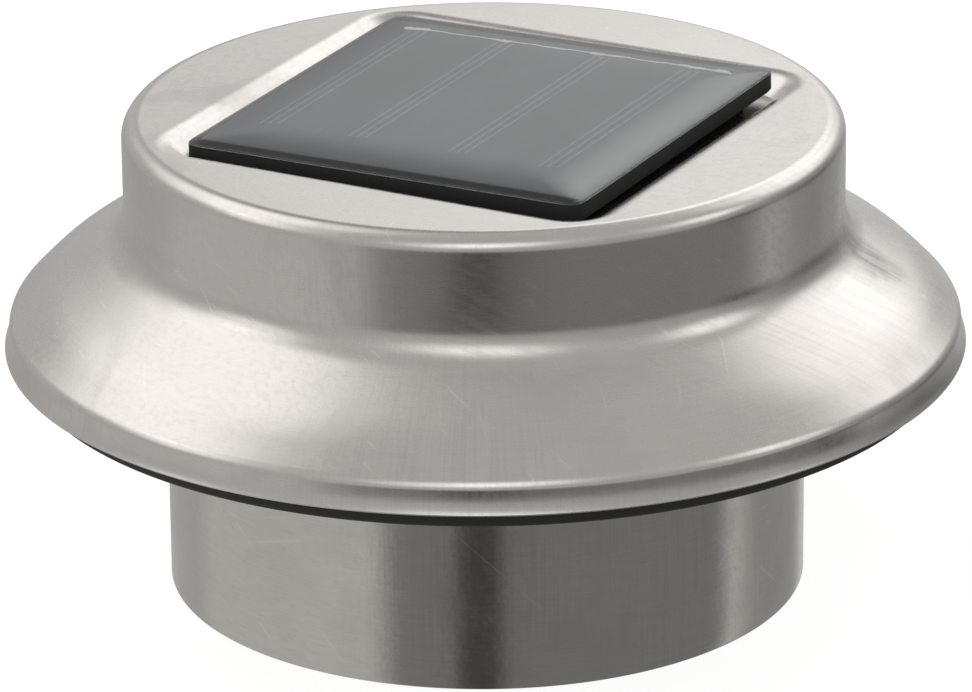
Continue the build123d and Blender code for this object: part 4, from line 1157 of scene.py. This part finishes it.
@dataclass
class Studio:
    """Camera, room light, lamps and floor."""

    azimuth: float = 28.17
    elevation: float = 21.188
    distance: float = 875.0
    lens: float = 249.01
    roll: float = -0.00892
    drop: float = -2.197
    aside: float = 0.063
    origin_z: float = 32.73
    lamp_distance: float = 0.9
    floor_half: float = 1500.0
    floor_points: int = 41
    room: float = 0.55
    below: float = 0.05
    areas: tuple[SoftArea, ...] = SOFT_AREAS

    def camera(self) -> Piece:
        """Camera at the photograph's place, from a fit of the lamp's circles."""
        e = math.radians(self.elevation)
        forward = Vector((0, math.cos(e), -math.sin(e)))
        up = Vector((0, math.sin(e), math.cos(e)))
        right = Vector((1, 0, 0))
        place = -forward * self.distance + up * self.drop + right * self.aside
        c, s = math.cos(self.roll), math.sin(self.roll)
        turned_right, turned_up = right * c + up * s, up * c - right * s
        axes = Matrix((turned_right, turned_up, -forward)).transposed().to_4x4()
        about = Matrix.Rotation(math.radians(self.azimuth), 4, "Z")
        lift = Matrix.Translation((0, 0, self.origin_z * MM))
        data = bpy.data.cameras.new("camera")
        data.lens, data.sensor_width = self.lens, 36.0
        data.clip_start, data.clip_end = 0.05, 20.0
        made = bpy.data.objects.new("camera", data)
        bpy.context.collection.objects.link(made)
        made.matrix_world = lift @ about @ Matrix.Translation(place * MM) @ axes
        bpy.context.scene.camera = made
        return made

    def direction(self, azimuth: float, elevation: float) -> Vector:
        """Unit vector to a place in the room, in the lamp's own axes."""
        a, e = math.radians(azimuth + self.azimuth), math.radians(elevation)
        return Vector((math.sin(a) * math.cos(e), -math.cos(a) * math.cos(e), math.sin(e)))

    def world(self) -> None:
        """Room of soft patches, with a plain white backdrop for the camera."""
        world = bpy.data.worlds.new("room")
        bpy.context.scene.world = world
        tree = Tree(world)
        way = tree.vector("NORMALIZE", tree.add("TexCoord").outputs["Generated"])
        level = tree.vector("NORMALIZE", tree.scaled(way, (1.0, 1.0, 0.0)))
        height = tree.add("SeparateXYZ", {0: way}).outputs[2]
        under = tree.ramp(height, -0.16, 0.02, 1.0, 0.0)
        total: Any = tree.maths("MULTIPLY_ADD", under, self.below, self.room)
        for area in self.areas:
            low = area.reach is Reach.BELOW
            middle = tuple(self.direction(area.azimuth, area.elevation))
            near = tree.dot(level if low else way, middle)
            edges = [math.cos(math.radians(angle)) for angle in (area.outer, area.inner)]
            part = tree.ramp(near, *edges, 0.0, area.strength)
            total = tree.maths("ADD", total, tree.maths("MULTIPLY", part, under) if low else part)
        seen = tree.add("LightPath").outputs["Is Camera Ray"]
        strength = tree.add("Mix", {0: seen, 2: total, 3: 1.0}, data_type="FLOAT").outputs[0]
        light = tree.add("Background", {"Color": (1.0, 0.995, 0.985, 1.0), "Strength": strength})
        tree.add("OutputWorld", {"Surface": light.outputs[0]})

    def lamp(
        self, name: str, azimuth: float, elevation: float, size: float, power: float
    ) -> Piece:
        """Soft square lamp that points at the light."""
        data = bpy.data.lights.new(name, "AREA")
        data.energy, data.size = power, size
        made = bpy.data.objects.new(name, data)
        bpy.context.collection.objects.link(made)
        way = self.direction(azimuth, elevation)
        turn = way.to_track_quat("Z", "Y").to_matrix().to_4x4()
        place = way * self.lamp_distance + Vector((0, 0, 0.03))
        made.matrix_world = Matrix.Translation(place) @ turn
        made.visible_glossy = False
        return made

    def floor(self) -> Piece:
        """Pale floor under the sleeve, white apart from the shadow, and clear from below."""
        count = self.floor_points
        span = np.linspace(-self.floor_half, self.floor_half, count)
        x, y = np.meshgrid(span, span, indexing="xy")
        points = np.stack([x, y, np.full_like(x, -0.05)], -1)
        made = new_object("floor", points, grid_faces(count, count, Closing.OPEN, Closing.OPEN))
        material = bpy.data.materials.new("floor")
        tree = Tree(material)
        shade = tree.add("BsdfDiffuse", {"Color": (0.9, 0.9, 0.9, 1.0)})
        black = tree.add("BsdfDiffuse", {"Color": (0.0, 0.0, 0.0, 1.0)})
        white = tree.add("Emission", {"Color": (1.0, 1.0, 1.0, 1.0), "Strength": 0.86})
        faint = tree.add("MixShader", {0: 0.35, 1: black.outputs[0], 2: shade.outputs[0]})
        both = tree.add("AddShader", {0: white.outputs[0], 1: faint.outputs[0]})
        paths = tree.add("LightPath").outputs
        seen = tree.maths("ADD", paths["Is Camera Ray"], paths["Is Transmission Ray"])
        pick = tree.add("MixShader", {0: seen, 1: shade.outputs[0], 2: both.outputs[0]})
        behind = tree.add("NewGeometry").outputs["Backfacing"]
        clear = tree.add("BsdfTransparent")
        sided = tree.add("MixShader", {0: behind, 1: pick.outputs[0], 2: clear.outputs[0]})
        tree.add("OutputMaterial", {"Surface": sided.outputs[0]})
        made.data.materials.append(material)
        made.visible_glossy = False
        return made

    def build(self) -> None:
        """Everything round the lamp."""
        self.camera()
        self.world()
        self.floor()
        self.lamp("overhead", -150.0, 62.0, 0.7, 1.5)


# ---- the whole light -----------------------------------------------------------------
def dress_frame(nodes: dict[str, Piece]) -> None:
    """Gives every CAD node that stays its finish."""
    for finish, names in NODE_FINISHES.items():
        for name in names:
            finish.dress(nodes[name])
            LOG.info("node %s: %s", name, finish.name)


def build_hat() -> Piece:
    """The hat, sized by its CAD node's box."""
    low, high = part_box("hat_shell")
    return Hat(top_z=high.z / MM, brim_radius=high.x / MM, edge_z=low.z / MM).build()


def build_sleeve() -> Piece:
    """The sleeve, sized by its CAD node's box."""
    low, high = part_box("sleeve")
    flange = high.x / MM
    return Sleeve(radius=flange - FLANGE_WIDTH, height=high.z / MM, flange_radius=flange).build()


def build_panel() -> list[Piece]:
    """The panel, set where the frame's backing is."""
    low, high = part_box("solar_backing")
    middle = (low.z + high.z) / 2 / MM
    return SolarPanel(bottom_z=middle - SolarPanel.backing / 2).build()


def build_clamp() -> Piece:
    """The threaded rod, sized by its CAD node's box."""
    low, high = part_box("clamp_screw")
    return ClampScrew(low=low, high=high).build()


def main() -> None:
    """Builds the studio and every piece of the light, and reports them."""
    logging.basicConfig(level=logging.INFO, format="%(name)s: %(message)s")
    bpy.context.scene.view_settings.view_transform = "Standard"
    Studio().build()
    dress_frame(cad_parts)
    makers: tuple[Callable[[], Any], ...] = (build_hat, build_sleeve, build_panel, build_clamp)
    for maker in makers:
        made = maker()
        for piece in made if isinstance(made, list) else [made]:
            LOG.info("piece %s: %d faces", piece.name, len(piece.data.polygons))


if __name__ == "__main__":
    main()
